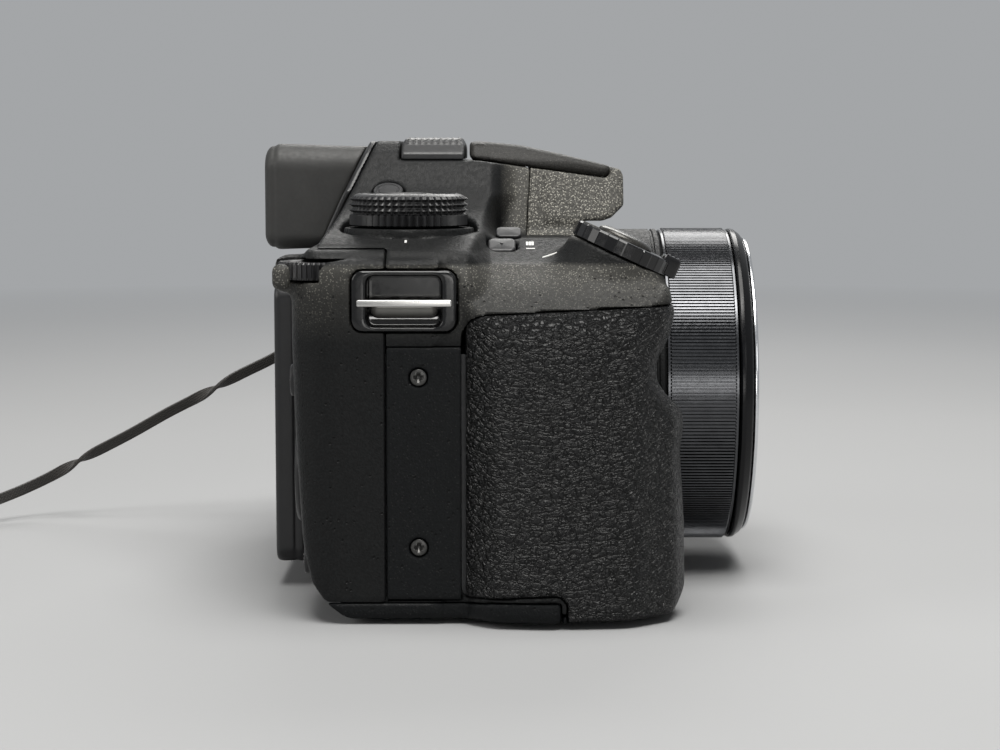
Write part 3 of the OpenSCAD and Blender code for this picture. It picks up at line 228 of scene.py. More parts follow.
def brushed(name, color, rough, along):
    """Metal drawn along one axis: long thin scratches in gloss and height."""
    g = Graph(name, color, rough, 1.0)
    scale = [60.0 if axis == along else 5000.0 for axis in range(3)]
    lines = g.noise(1.0, 3.0, g.add("ShaderNodeMapping", Vector=g.at, Scale=scale).outputs[0])
    g.shade(Base_Color=g.ramp(lines, [(0.3, scaled(color, 0.8)), (0.7, color)]),
            Roughness=g.ramp(lines, [(0.3, rough * 0.7), (0.7, rough * 1.4)]),
            Normal=g.bump(lines, 0.2, 0.00003))
    return g.mat


def glass(name, tint, coat):
    """Clear glass under a thin tinted coating with faint wipe marks."""
    g = Graph(name, tint, 0.0)
    g.shade(IOR=1.2, Transmission_Weight=1.0, Coat_Weight=0.08, Coat_Tint=(*coat, 1),
            Coat_Roughness=g.ramp(g.noise(60.0), [(0.35, 0.02), (0.7, 0.05)]))
    return g.mat


def screen(name):
    """Dark display panel with faint upright lines."""
    g = Graph(name, (0.006, 0.007, 0.01), 0.08)
    bands = {"wave_type": "BANDS", "bands_direction": "X"}
    lines = g.add("ShaderNodeTexWave", bands, Vector=g.at, Scale=2400.0).outputs["Fac"]
    g.shade(Base_Color=g.ramp(lines, [(0.2, (0.004, 0.005, 0.008)), (0.8, (0.010, 0.012, 0.018))]))
    return g.mat


def board(name):
    """Circuit board: green mask with lighter track runs."""
    g = Graph(name, (0.01, 0.09, 0.03), 0.4)
    runs = g.add("ShaderNodeTexBrick", Vector=g.at, Scale=380.0, Color1=(0.008, 0.075, 0.025, 1),
                 Color2=(0.012, 0.1, 0.035, 1), Mortar=(0.05, 0.22, 0.08, 1))
    g.shade(Base_Color=runs.outputs["Color"], Normal=g.bump(runs.outputs["Fac"], 0.3, 0.0001))
    return g.mat


def woven(name):
    """Flat tape: threads that cross, in relief and in tone."""
    g = Graph(name, (0.012, 0.010, 0.008), 0.8)
    over = g.add("ShaderNodeTexChecker", Vector=g.add("ShaderNodeUVMap").outputs["UV"], Scale=1.0,
                 Color1=(0.020, 0.016, 0.012, 1), Color2=(0.007, 0.006, 0.005, 1))
    relief = g.bump(over.outputs["Fac"], 0.7, 0.0002)
    g.shade(Base_Color=over.outputs["Color"], Normal=relief, Sheen_Weight=0.4)
    return g.mat


M = {
    # Shell: its flecks are painted glints, and on the deck and grip-side band a lighter painted base stands
    # for light from above.
    "shell": speckled("body_speckled_plastic_painted_light", (0.0085, 0.0090, 0.0093), (0.34, 0.33, 0.29),
                      2600.0, 0.60, 0.90, 0.9, painted_lit=True),
    # Flash nose: the shell's plastic with a far lighter base, which is painted light on its flanks; its
    # flecks are painted glints.
    "nose": speckled("nose_coarse_plastic_painted_light", (0.088, 0.086, 0.078), (0.44, 0.425, 0.375),
                     2400.0, 0.45, 0.97, 0.8),
    "panel": speckled("panel_pitted_plastic", (0.0048, 0.0056, 0.0062), (0.02, 0.02, 0.02),
                      2400.0, 0.88, 0.9, 0.8),
    "lid": speckled("lid_fine_plastic", (0.033, 0.032, 0.030), (0.10, 0.097, 0.088),
                    3600.0, 0.88, 0.995, 0.3),
    "rubber": leather("grip_leather_rubber"),
    "cup": satin("eyecup_soft_rubber", (0.030, 0.0298, 0.0285), 0.55, 1400.0, 0.35),
    "gloss": satin("gloss_black_plastic", (0.004, 0.004, 0.0045), 0.14, 900.0, 0.03),
    "satin": satin("satin_black_plastic", (0.011, 0.011, 0.012), 0.36, 2000.0, 0.2),
    "ring": satin("ring_blue_black_metal", (0.085, 0.087, 0.092), 0.2, 2200.0, 0.02, metal=0.96),
    "bezel": satin("bezel_black_anodised", (0.003, 0.0032, 0.004), 0.2, 2600.0, 0.08, spec=0.25),
    "chrome": brushed("trim_bright_chrome", (0.80, 0.81, 0.83), 0.14, 1),
    "steel": brushed("bar_brushed_steel", (0.66, 0.65, 0.63), 0.28, 1),
    "screw": satin("screw_blackened_steel", (0.075, 0.074, 0.072), 0.36, 2400.0, 0.25, metal=0.9),
    "alu": brushed("chassis_black_aluminium", (0.05, 0.051, 0.053), 0.45, 0),
    "board": board("board_green_mask"),
    "sensor": satin("sensor_blue_filter", (0.02, 0.05, 0.16), 0.12, 700.0, 0.0),
    "lamp": satin("lamp_red_window", (0.20, 0.012, 0.010), 0.12, 900.0, 0.0),
    "flash": satin("flash_frosted_window", (0.72, 0.72, 0.70), 0.3, 1200.0, 0.3),
    "pack": satin("pack_grey_wrap", (0.06, 0.062, 0.066), 0.45, 1500.0, 0.15),
    "glass": glass("lens_coated_glass", (0.95, 0.96, 0.97), (0.72, 0.86, 0.92)),
    "element": satin("element_dark_glass", (0.004, 0.006, 0.009), 0.05, 80.0, 0.0),
    "cover_glass": satin("screen_cover_glass", (0.0045, 0.0050, 0.0062), 0.07, 60.0, 0.0, spec=0.34),
    "screen": screen("monitor_dark_panel"),
    "tape": woven("tether_woven_tape"),
    "mark": satin("marks_white_paint", (0.78, 0.78, 0.76), 0.5, 1600.0, 0.1),
    "red_mark": satin("marks_red_paint", (0.45, 0.02, 0.015), 0.4, 1600.0, 0.1),
    "button": satin("button_satin_grey", (0.055, 0.053, 0.048), 0.26, 1700.0, 0.12, metal=0.55),
    # Lug roll: a light grey against the black frame round it, which is painted light from above on the roll
    # in the window.
    "guard": satin("lug_guard_grey_painted_light", (0.11, 0.108, 0.10), 0.38, 1500.0, 0.08, metal=0.4),
    "dark": satin("baffle_matt_black", (0.004, 0.004, 0.004), 0.8, 1500.0, 0.1),
}


# Meshes

def piece(name, parts, mat, node=None, body="camera", sharp=32.0, closed=False):
    """One named object from (points, faces) sets in millimetres, riding on a body, in place of a CAD node."""
    verts, faces = [], []
    for v, f in [parts] if isinstance(parts, tuple) else parts:
        shift = len(verts)
        verts += np.asarray(v, float).tolist()
        faces += [[i + shift for i in q] for q in (f.tolist() if isinstance(f, np.ndarray) else f)]
    me = bpy.data.meshes.new(name)
    me.from_pydata((np.array(verts) * MM).tolist(), [], faces)
    if not closed:
        b = bmesh.new()
        b.from_mesh(me)
        bmesh.ops.recalc_face_normals(b, faces=b.faces)
        b.to_mesh(me)
        b.free()
    me.polygons.foreach_set("use_smooth", [True] * len(me.polygons))
    me.set_sharp_from_angle(angle=math.radians(sharp))
    me.materials.append(M[mat])
    o = bpy.data.objects.new(name, me)
    scene.collection.objects.link(o)
    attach(o, body)
    if node:
        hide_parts(node)
    return o


def rounded(points, radii, step=0.4):
    """Outline with its corners rounded."""
    pts = [np.array(p, float) for p in points]
    radii = [radii] * len(pts) if np.isscalar(radii) else radii
    out = []
    for i, (p, r) in enumerate(zip(pts, radii)):
        a, b = pts[i - 1] - p, pts[(i + 1) % len(pts)] - p
        la, lb = np.linalg.norm(a), np.linalg.norm(b)
        ua, ub = a / la, b / lb
        half = math.acos(float(np.clip(ua @ ub, -1, 1))) / 2
        if r <= 0 or half > math.radians(89.5):
            out.append(p)
            continue
        reach = min(r / math.tan(half), 0.49 * la, 0.49 * lb)
        r = reach * math.tan(half)
        mid = ua + ub
        centre = p + mid / np.linalg.norm(mid) * (r / math.sin(half))
        s, e = p + ua * reach - centre, p + ub * reach - centre
        first = math.atan2(s[1], s[0])
        sweep = (math.atan2(e[1], e[0]) - first + math.pi) % (2 * math.pi) - math.pi
        count = max(2, int(abs(sweep) * r / step) + 1)
        for k in range(count + 1):
            t = first + sweep * k / count
            out.append(centre + r * np.array((math.cos(t), math.sin(t))))
    return np.array(out)


def rect(cx, cy, hx, hy, r, step=0.3):
    return rounded([(cx - hx, cy - hy), (cx + hx, cy - hy), (cx + hx, cy + hy), (cx - hx, cy + hy)], r, step)


def disc(r, n=48, cx=0.0, cy=0.0):
    a = np.linspace(0, 2 * math.pi, n, endpoint=False)
    return np.stack([cx + r * np.cos(a), cy + r * np.sin(a)], 1)


def inset(p, d):
    """Outline moved inward by d along its corner normals."""
    sides = []
    for e in (p - np.roll(p, 1, 0), np.roll(p, -1, 0) - p):
        n = np.stack([e[:, 1], -e[:, 0]], 1)
        sides.append(n / (np.linalg.norm(n, axis=1)[:, None] + 1e-9))
    m = sides[0] + sides[1]
    m /= np.maximum((m * sides[0]).sum(1), 0.35)[:, None]
    area = (p[:, 0] * np.roll(p[:, 1], -1) - np.roll(p[:, 0], -1) * p[:, 1]).sum()
    return p - m * d * (1 if area > 0 else -1)


def strip(rows, n):
    """Quads between successive rings of n points each."""
    return [[r * n + i, r * n + (i + 1) % n, (r + 1) * n + (i + 1) % n, (r + 1) * n + i]
            for r in range(rows - 1) for i in range(n)]


def prism(p, w0, w1, b0=0.0, b1=0.3, dome=0.0, steps=4):
    """Outline p from height w0 to w1, its edges rounded by b0 below and b1 above, its top raised by dome."""
    rings = []
    if b0 > 0:
        for k in range(steps, 0, -1):
            t = k / steps * math.pi / 2
            rings.append((inset(p, b0 * (1 - math.cos(t))), w0 + b0 * (1 - math.sin(t))))
    rings.append((p, w0 + b0))
    for k in range(0 if b1 > 0 else steps, steps + 1):
        t = k / steps * math.pi / 2
        rings.append((inset(p, b1 * (1 - math.cos(t))), w1 - b1 * (1 - math.sin(t))))
    if dome:
        mid = p.mean(0)
        last = rings[-1][0]
        for k in range(1, 7):
            s = 1 - k / 7
            rings.append((mid + (last - mid) * s, w1 + dome * (1 - s * s)))
    n = len(p)
    verts = np.concatenate([np.column_stack([q, np.full(n, w)]) for q, w in rings])
    ends = [list(range(n))[::-1], [(len(rings) - 1) * n + i for i in range(n)]]
    return verts, [ends[0], *strip(len(rings), n), ends[1]]


def lathe(profile, n=TURN, teeth=None):
    """Closed profile of (radius, height) turned about the third axis; teeth(radius, angle) moves it."""
    angle = np.linspace(0, 2 * math.pi, n, endpoint=False)
    verts, index = [], []
    for r, w in np.asarray(profile, float):
        if r < 1e-6:
            index.append([len(verts)] * n)
            verts.append((0.0, 0.0, w))
        else:
            reach = np.full(n, r) if teeth is None else teeth(r, angle)
            index.append(list(range(len(verts), len(verts) + n)))
            verts += np.column_stack([reach * np.cos(angle), reach * np.sin(angle), np.full(n, w)]).tolist()
    faces = []
    for a, b in zip(index, index[1:] + index[:1]):
        if a[0] == a[1] and b[0] == b[1]:
            continue
        for i in range(n):
            j = (i + 1) % n
            q = [a[i], a[j], b[j], b[i]]
            q = [v for m, v in enumerate(q) if v not in q[:m]]
            if len(q) > 2:
                faces.append(q)
    return np.array(verts), faces


def put(part, axes, at=(0.0, 0.0, 0.0)):
    """Part's own (u, v, w) axes laid along the given row-frame axes, its origin moved to at."""
    return np.asarray(part[0]) @ np.array(axes, float) + np.array(at, float), part[1]


def about_x(deg):
    c, s = math.cos(math.radians(deg)), math.sin(math.radians(deg))
    return (1, 0, 0), (0, c, s), (0, -s, c)


def about_y(deg):
    c, s = math.cos(math.radians(deg)), math.sin(math.radians(deg))
    return (c, 0, -s), (0, 1, 0), (s, 0, c)


UP = ((1, 0, 0), (0, 1, 0), (0, 0, 1))
TO_REAR = ((-1, 0, 0), (0, 0, 1), (0, 1, 0))
TO_FRONT = ((1, 0, 0), (0, 0, 1), (0, -1, 0))
TO_RIGHT = ((0, -1, 0), (0, 0, 1), (-1, 0, 0))
TO_LEFT = ((0, 1, 0), (0, 0, 1), (1, 0, 0))
TO_UNDER = ((1, 0, 0), (0, -1, 0), (0, 0, -1))

# Places: axes and origin of what sits there
DIAL = UP, (*DIAL_AT, DIAL_Z)
SHUTTER = about_x(SHUTTER_TILT), SHUTTER_AT
CUSTOM = about_y(FORE_TILT), CUSTOM_AT
FOCUS = about_y(FORE_TILT), FOCUS_AT
POWER = about_y(POWER_TILT), POWER_AT
LENS = TO_FRONT, (0, 0, LENS_Z)
LAMP = TO_FRONT, (LAMP_AT[0], 0, LAMP_AT[1])
SWITCH = TO_FRONT, (SWITCH_AT[0], 0, SWITCH_AT[1])
PAD = TO_REAR, (PAD_AT[0], 0, PAD_AT[1])
REAR_KEYS = {word: (TO_REAR, (at[0], 0, at[1])) for word, at in KEYS.items()}


def ribs(count, depth, lo, vee=False):
    """Teeth for lathe(): points outside radius lo move in by depth between the teeth."""
    def move(r, angle):
        if r < lo:
            return np.full(len(angle), r)
        s = np.abs(2 * ((angle * count / (2 * math.pi)) % 1.0) - 1)
        return r - depth * (s if vee else np.clip((s - 0.5) / 0.2, 0, 1))
    return move


# Distance fields: negative inside, in millimetres, on broadcast grids

def grid(lo, hi, h):
    a = [np.arange(l, u + h, h, dtype=np.float32) for l, u in zip(lo, hi)]
    return a[0][:, None, None], a[1][None, :, None], a[2][None, None, :]


def poly(p, a, b):
    """Distance from an outline in the plane of a and b."""
    d, inside = None, None
    for (ax, ay), (bx, by) in zip(p, np.roll(p, -1, 0)):
        ex, ey = np.float32(bx - ax), np.float32(by - ay)
        wx, wy = a - np.float32(ax), b - np.float32(ay)
        t = np.clip((wx * ex + wy * ey) / (ex * ex + ey * ey + 1e-9), 0, 1)
        dist = (wx - ex * t) ** 2 + (wy - ey * t) ** 2
        c1, c2, c3 = b >= ay, b < by, ex * wy > ey * wx
        flip = (c1 & c2 & c3) | (~c1 & ~c2 & ~c3)
        d = dist if d is None else np.minimum(d, dist)
        inside = flip if inside is None else inside ^ flip
    return np.sqrt(d) * np.where(inside, -1, 1)


def smax(a, b, k):
    """What two shapes share, with the new edge rounded over about k."""
    h = np.maximum(k - np.abs(a - b), 0) / k
    return np.maximum(a, b) + h * h * (k * 0.25)


def smin(a, b, k):
    """Two shapes joined, with the corner filled over about k."""
    return -smax(-a, -b, k)


def cut(d, k, *shapes):
    """Shapes taken out of d one after another, with their edges rounded over about k."""
    for shape in shapes:
        d = smax(d, -shape, k)
    return d


def box(x, y, z, lo, hi, r=0.0):
    """Box with rounded edges."""
    q = [np.abs(v - (l + u) / 2) - (u - l) / 2 + r for v, l, u in zip((x, y, z), lo, hi)]
    out = np.sqrt(sum(np.maximum(v, 0) ** 2 for v in q))
    return out + np.minimum(np.maximum(np.maximum(q[0], q[1]), q[2]), 0) - r


def rod(a, b, r, c, lo, hi):
    """Cylinder of radius r in the plane of a and b, between two values of c."""
    return np.maximum(np.sqrt(a * a + b * b) - r, np.abs(c - (lo + hi) / 2) - (hi - lo) / 2)


def local(x, y, z, axes, at):
    """Coordinates along a place's own axes."""
    d = x - at[0], y - at[1], z - at[2]
    return [sum(c * v for c, v in zip(axis, d) if c) for axis in axes]


def nets(x, y, z, f):
    """Closed quad mesh of the field's zero surface."""
    f = np.array(np.broadcast_to(f, (x.size, y.size, z.size)), np.float32)
    for axis in range(3):
        for end in (0, -1):
            s = [slice(None)] * 3
            s[axis] = end
            f[tuple(s)] = np.maximum(f[tuple(s)], 0.05)
    f[f == 0] = 1e-6
    inside = f < 0
    nx, ny, nz = f.shape
    some, every = np.zeros((nx - 1, ny - 1, nz - 1), bool), np.ones((nx - 1, ny - 1, nz - 1), bool)
    for i, j, k in np.ndindex(2, 2, 2):
        c = inside[i:nx - 1 + i, j:ny - 1 + j, k:nz - 1 + k]
        some |= c
        every &= c
    cell = np.argwhere(some & ~every)
    ids = np.full(some.shape, -1, np.int64)
    ids[tuple(cell.T)] = np.arange(len(cell))
    total, count = np.zeros((len(cell), 3)), np.zeros(len(cell))
    quads = []
    for axis in range(3):
        o1, o2 = (axis + 1) % 3, (axis + 2) % 3
        for du, dv in ((0, 0), (0, 1), (1, 0), (1, 1)):
            a = np.zeros(3, int)
            a[o1], a[o2] = du, dv
            b = a.copy()
            b[axis] = 1
            fa, fb = f[tuple((cell + a).T)], f[tuple((cell + b).T)]
            hit = (fa < 0) != (fb < 0)
            p = np.tile(a.astype(float), (int(hit.sum()), 1))
            p[:, axis] += fa[hit] / (fa[hit] - fb[hit])
            total[hit] += p
            count[hit] += 1
        s0, s1 = [slice(1, -1)] * 3, [slice(1, -1)] * 3
        s0[axis], s1[axis] = slice(None, -1), slice(1, None)
        e = np.argwhere(inside[tuple(s0)] != inside[tuple(s1)])
        e[:, o1] += 1
        e[:, o2] += 1
        ring = []
        for du, dv in ((1, 1), (0, 1), (0, 0), (1, 0)):
            c = e.copy()
            c[:, o1] -= du
            c[:, o2] -= dv
            ring.append(ids[tuple(c.T)])
        q = np.stack(ring, 1)
        back = ~inside[tuple(e.T)]
        q[back] = q[back][:, ::-1]
        quads.append(q)
    origin = np.array([x.flat[0], y.flat[0], z.flat[0]], float)
    step = float(x.flat[1] - x.flat[0])
    return origin + step * (cell + total / count[:, None]), np.concatenate(quads)


def carve(name, field, lo, hi, step, mat, node=None, body="camera"):
    """Piece meshed from a field function over a box."""
    x, y, z = grid(lo, hi, step)
    return piece(name, nets(x, y, z, field(x, y, z)), mat, node, body, sharp=40.0, closed=True)


# Outlines of the case: across and up (x, z), along and up (y, z), or in plan (x, y)

DECK = rounded(
    [(RIGHT, 0), (LEFT, 0), (LEFT, 58.5), (44, 66.1), (34, 69.6), (27, 75.6), (22, 83.5), (18, 86), (-18, 86),
     (-22, 83.5), (-28, 77), (-34, 72.6), (-45, 69.6), (-56, 68.4), (-63.6, 65.8), (RIGHT, 59.5)],
    [0, 0, 8, 6, 6, 8, 4, 4, 4, 4, 8, 10, 10, 4, 4, 5])
FORE = rounded(
    [(RIGHT, 0), (LEFT, 0), (LEFT, 56.5), (44, 62.5), (34, 66.6), (27, 68.3), (25.0, 69.2), (20.1, 80.6),
     (19.4, 84.5), (-19.4, 84.5), (-20.1, 80.6), (-25.2, 68.4), (-27.2, 67.5), (-43.2, 67.5), (-57, 63.3),
     (-62.5, 59.9), (-66, 55.6), (RIGHT, 50)],
    [0, 0, 8, 6, 5, 1.5, 1.5, 2, 2, 2, 2, 1.0, 1.0, 4, 0.25, 3, 4, 5])
SIDE = rounded([(FRONT, 0), (35.5, 0), CUP_LOW, CUP_HIGH, (5, 86), (FRONT, 83)], [0, 0, 0, 0, 4, 2])
PLAN = rounded([(RIGHT, FRONT), (LEFT, FRONT), (LEFT, 35.5), (RIGHT, 35.5)], [0, 7, 7, 8])
NOSE = rounded(
    [(-9, 70.2), (-9, 83.2), (-12, 82.7), (-22.3, 80.6), (-23.5, 80.2), (-24.1, 79), (-24.1, 73.2),
     (-21.6, 70.8), (-19.8, 70.2)], [0, 0, 2, 1, 0.6, 0.6, 1, 1, 1])
THUMB_SIDE = rounded(
    [(10, 0), (31.4, 0), (35.4, 7), (37, 30), (38, 50), (38, 60), (35.5, 64.8), (10, 64.8)],
    [0, 1.5, 5, 12, 12, 4, 3, 0])
THUMB_PLAN = rounded([(RIGHT, 10), (-33, 10), (-33, 38), (RIGHT, 38)], [0, 0, 1.5, 9])
POD_PLAN = rounded([(-61, 30), (-44, 30), (-44, 40.6), (-61, 40.6)], [0, 0, 4, 4])
GRIP_PLAN = rounded(
    [(-41, PANEL_Y), (RIGHT, PANEL_Y), (-71.6, 1), (-72.6, -8), (-71.2, -23), (-64.5, -31.2), (-57.5, -34.6),
     (-50, -32.2), (-44.5, -25), (-41, FRONT)], [0, 0, 7, 9, 9, 7, 7, 6, 6, 5])
GRIP_SIDE = rounded(
    [(PANEL_Y, 0), (PANEL_Y, 72), (-12, 68), (-25.5, 62.6), (-30.3, 59.6), (-31.3, 55), (-30.4, 51.4),
     (-27.8, 46.8), (-27.8, 43.2), (-30.2, 39.6), (-33.3, 36.9), (-33.6, 34.3), (-32.7, 29.5), (-34.1, 17),
     (-34.6, 5), (-31, 0)], [0, 0, 6, 3, 2.5, 3, 4, 3, 3, 3, 1.6, 1.6, 5, 12, 4, 2])
GRIP_TOP = rounded(
    [(-38, -1), (-38, 67.5), (-43.2, 67.5), (-57, 63.3), (-64, 59.4), (-69.6, 55.0), (-72.6, 50.4),
     (-73.6, 45), (-73.6, -1)], [0, 0, 4, 0.25, 5, 6, 6, 6, 0])
TOP_ZONE = np.array(
    [(-90, 59.5), (1.5, 55), (1.5, PANEL_Z1), (SEAM_Y, PANEL_Z1), (SEAM_Y, REAR_Z), (90, REAR_Z), (90, 120),
     (-90, 120)], float)
LOW_ZONE = np.array(
    [(-90, -5), (SEAM_Y, -5), (SEAM_Y, PANEL_Z1), (1.5, PANEL_Z1), (1.5, 55), (-90, 59.5)], float)
RUBBER_ZONE = rounded(
    [(PANEL_Y, 4.7), (PANEL_Y, 54.85), (-90, 59.55), (-90, 0.9), (-11.9, 0.9), (-11.9, 6.0)],
    [1.0, 4.6, 0, 0, 0.6, 2.6])
DOOR_PLAN = rounded([(-80, -10.8), (-38, -10.8), (-38, 31), (-80, 31)], [0, 2, 2, 0])
HEEL = rounded(
    [(-90, 0), (26.6, 0), (30.9, 3.3), (33.6, 6.8), (35.7, 13.8), (38.4, 50), (70, 52), (70, 120),
     (-90, 120)], [0, 2, 3, 5, 20, 0, 0, 0, 0])
MIC_FRONT = rounded(
    [(-22.85, 82.05), (22.85, 82.05), (22.5, 83.3), (21.9, 83.75), (18.2, 86.22), (-18.2, 86.22),
     (-21.9, 83.75), (-22.5, 83.3)], [0.1, 0.1, 0.2, 0.2, 2.5, 2.5, 0.2, 0.2], 0.2)


def lid_seam(y):
    """Height of the seam below the flash lid."""
    return 80.6 + (y + 5.9) * 0.137


LID = rounded(
    [(6.0, lid_seam(6.0)), (6.0, 85.5), (3.9, 85.7), (-4, 84.9), (-11.9, 83.2), (-22.1, 80.7),
     (-20.9, lid_seam(-20.9))], [0.9, 0.5, 3, 12, 12, 1.0, 1.2])
LID_ROOM = rounded(
    [(6.3, lid_seam(6.3) - 0.12), (6.3, 95), (-22.3, 95), (-22.3, 80.7), (-21.0, lid_seam(-21) - 0.12)],
    [0, 0, 0, 0.5, 1.3])
LID_FRONT = rounded(
    [(-19.9, 70), (19.9, 70), (19.9, 81.6), (15.5, 86.4), (-15.5, 86.4), (-19.9, 81.6)], [0, 0, 4, 3, 3, 4])
CUSTOM_KEY = rect(0, 0.3, 2.5, 2.6, 1.2, 0.15)

# Rooms in the case, as two opposite corners
FINDER_ROOM = (-15, 5, 60), (15, 23, 79)
FLASH_BAY = (-14.4, -21.8, 71.7), (14.4, -8, 90)
MIC_SEAT = (-40, 4.6, 81.9), (40, 19.5, 95)
PANEL_SEAT = (-90, PANEL_Y - 0.02, PANEL_Z0), (RIGHT + 1.3, SEAM_Y + 2, PANEL_Z1)
SWITCH_SLOT = (39.5, -30, 6.9), (44.5, FRONT + 1.0, 17.1)
THUMB_SLOT = (-90, 32.4, 60.6), (-58.2, 36.8, 64.75)
FLAP_SEAT = (LEFT - 1.6, FLAP_Y[0] - 0.15, FLAP_Z[0] - 0.15), (60, FLAP_Y[1] + 0.15, FLAP_Z[1] + 0.15)
LOCK_SEAT = (-64.2, -8.4, -1), (-57.8, -1.6, 1.1)
SCREEN_ROOM = (-25, 38.6, 9), (38, 42.8, 53.6)


# Outer form and what is common to the covers

def lean(y, z):
    """Distance ahead of the slanted plane that the eyecup sits on."""
    sy, sz = CUP_HIGH[0] - CUP_LOW[0], CUP_HIGH[1] - CUP_LOW[1]
    return (-sz * (y - CUP_LOW[0]) + sy * (z - CUP_LOW[1])) / math.hypot(sy, sz)


def lid_field(x, y, z):
    d = smax(poly(LID, y, z), poly(LID_FRONT, x, z), 1.2)
    return np.minimum(d, rod(y - HINGE_Y, z - HINGE_Z, 2.0, x, -17, 17))


def grip_field(x, y, z):
    return smax(smax(poly(GRIP_PLAN, x, y), poly(GRIP_SIDE, y, z), 3.0), poly(GRIP_TOP, x, z), 1.4)


def body_field(x, y, z):
    """Outer form of the closed case without the grip: the fore profile blends into the deck's."""
    w = np.clip((y - 0.4 + np.clip(0.45 * (z - 66), 0, 4.2)) / 6, 0, 1)
    w = w * w * (3 - 2 * w)
    profile = poly(FORE, x, z) * (1 - w) + poly(DECK, x, z) * w
    d = smax(smax(profile, poly(SIDE, y, z), 1.2), poly(PLAN, x, y), 1.6)
    thumb = smax(smax(poly(THUMB_SIDE, y, z), poly(THUMB_PLAN, x, y), 2.5), x + 33.2, 0.6)
    pod = smax(poly(POD_PLAN, x, y), np.abs(z - 61.7) - 3.1, 1.6)
    d = smin(smin(d, thumb, 1.0), pod, 1.6)
    wheel_room = 8.1 - np.sqrt((x - THUMB_AT[0]) ** 2 + (y - THUMB_AT[1]) ** 2)
    guard = smax(box(x, y, z, (-66.4, 37.0, 59.4), (-58, 40.2, 63.9), 1.2), wheel_room, 0.3)
    nose = smax(poly(NOSE, y, z), (np.abs(x) - NOSE_HALF + 0.45 * (z - 80.6)) * 0.912, 1.2)
    d = smin(smin(d, guard, 0.5), nose, 1.2)
    pocket = rod(x - DIAL_AT[0], y - DIAL_AT[1], 12.6, z, 68.3, 90)
    seat = smax(rod(x - DIAL_AT[0], y - DIAL_AT[1], 12.0, z, 55, 120), z - DIAL_SEAT, 0.3)
    return smin(cut(d, 0.6, pocket), seat, 0.15)


def collar_field(x, y, z):
    """Raised seat of the shutter button."""
    u, v, w = local(x, y, z, *SHUTTER)
    cone = np.sqrt(u * u + v * v) - 9.3 - 0.12 * np.maximum(-w, 0) - 0.02 * w * w
    return np.maximum(smax(cone * 0.95, w, 0.5), -12 - w)


def outer_field(x, y, z):
    d = smin(body_field(x, y, z), grip_field(x, y, z), 0.8)
    d = smin(d, collar_field(x, y, z), 1.8)
    d = smax(d, poly(HEEL, y, z) - 3 * np.maximum(x + 34, 0), 1.0)
    return cut(d, 1.6, z)


def hollow(d, x, y, z, outer):
    """Cover d without the room inside the case."""
    room = smax(outer + WALL, z - REAR_Z, 0.5)
    return np.maximum(d, -np.minimum(room, box(x, y, z, *FINDER_ROOM)))


def lens_bore(x, y, z):
    return rod(x, z - LENS_Z, HOLE_R, y, -90, 4)


def eye_bore(x, y, z):
    return rod(x, z - FINDER_Z, EYE_R + 0.1, y, 14, 60)


def lip_z(x):
    """Top of the battery door's side wall, which climbs a little where the grip swells."""
    return 3.6 + 0.17 * np.maximum(RIGHT - x, 0)


def lug_pocket(x, y, z):
    wide = poly(rect(LUG_Y, LUG_Z, LUG_HALF_Y, LUG_HALF_Z, 2.2), y, z) - 0.1
    return np.maximum(wide, np.minimum(x - (RIGHT + 7.2), LEFT - 7.2 - x))


def rubber_cut(x, y, z):
    return np.maximum(poly(RUBBER_ZONE, y, z) - HALF_SEAM, x + 41)


def key_hole(x, y, z, place, r):
    u, v, w = local(x, y, z, *place)
    return rod(u, v, r, w, -3.2, 30)


# Covers as fields

def top_field(x, y, z):
    """Upper cover and flash nose together, with every opening in them."""
    outer = outer_field(x, y, z)
    d = hollow(smax(outer, poly(TOP_ZONE, y, z) + HALF_SEAM, 0.35), x, y, z, outer)
    d = cut(d, 0.3, lens_bore(x, y, z))
    d = cut(d, 0.25, lug_pocket(x, y, z))
    d = cut(d, 0.4, box(x, y, z, *FLASH_BAY))
    d = cut(d, 0.25, lid_field(x, y, z) - 0.15, poly(LID_ROOM, y, z), box(x, y, z, *MIC_SEAT))
    wheel = rod(y - DIOPTER_AT[1], z - DIOPTER_AT[2], 4.5, x, DIOPTER_AT[0] - 2.9, 40)
    d = cut(d, 0.3, wheel, eye_bore(x, y, z))
    u, v, w = local(x, y, z, *CUSTOM)
    d = cut(d, 0.3, np.maximum(poly(CUSTOM_KEY, u, v) - 0.25, -2.2 - w))
    d = cut(d, 0.3, key_hole(x, y, z, FOCUS, FORE_R + 0.3), key_hole(x, y, z, POWER, POWER_R + 0.25))
    d = cut(d, 0.3, rod(x - LAMP_AT[0], z - LAMP_AT[1], 3.15, y, -30, FRONT + 1.6), rubber_cut(x, y, z))
    hinge = y - HINGE_Y, z - HINGE_Z
    d = cut(d, 0.2, np.maximum(rod(*hinge, 2.95, x, -20.1, 20.1), HINGE_Y - 0.6 - y))
    ears = box(np.abs(x), y, z, (9.7, HINGE_Y - 1.5, 78), (11.7, HINGE_Y + 1.5, HINGE_Z))
    d = np.minimum(d, np.minimum(rod(*hinge, 1.8, np.abs(x), 9.7, 11.7), ears))
    return smax(d, np.where(z > 64.0, 1.5 - lean(y, z), -5.0), 0.3)


def nose_split(x, y, z):
    """Negative ahead of the seam behind the flash nose."""
    plane = y + 5.9 - (80.6 - z) * 0.06
    return np.maximum(np.maximum(plane, REAR_Z - z), np.abs(x) - 26.9)


def top_shell(x, y, z):
    return cut(top_field(x, y, z), 0.12, nose_split(x, y, z) - 0.04)


def nose_shell(x, y, z):
    return smax(top_field(x, y, z), nose_split(x, y, z) + 0.04, 0.12)


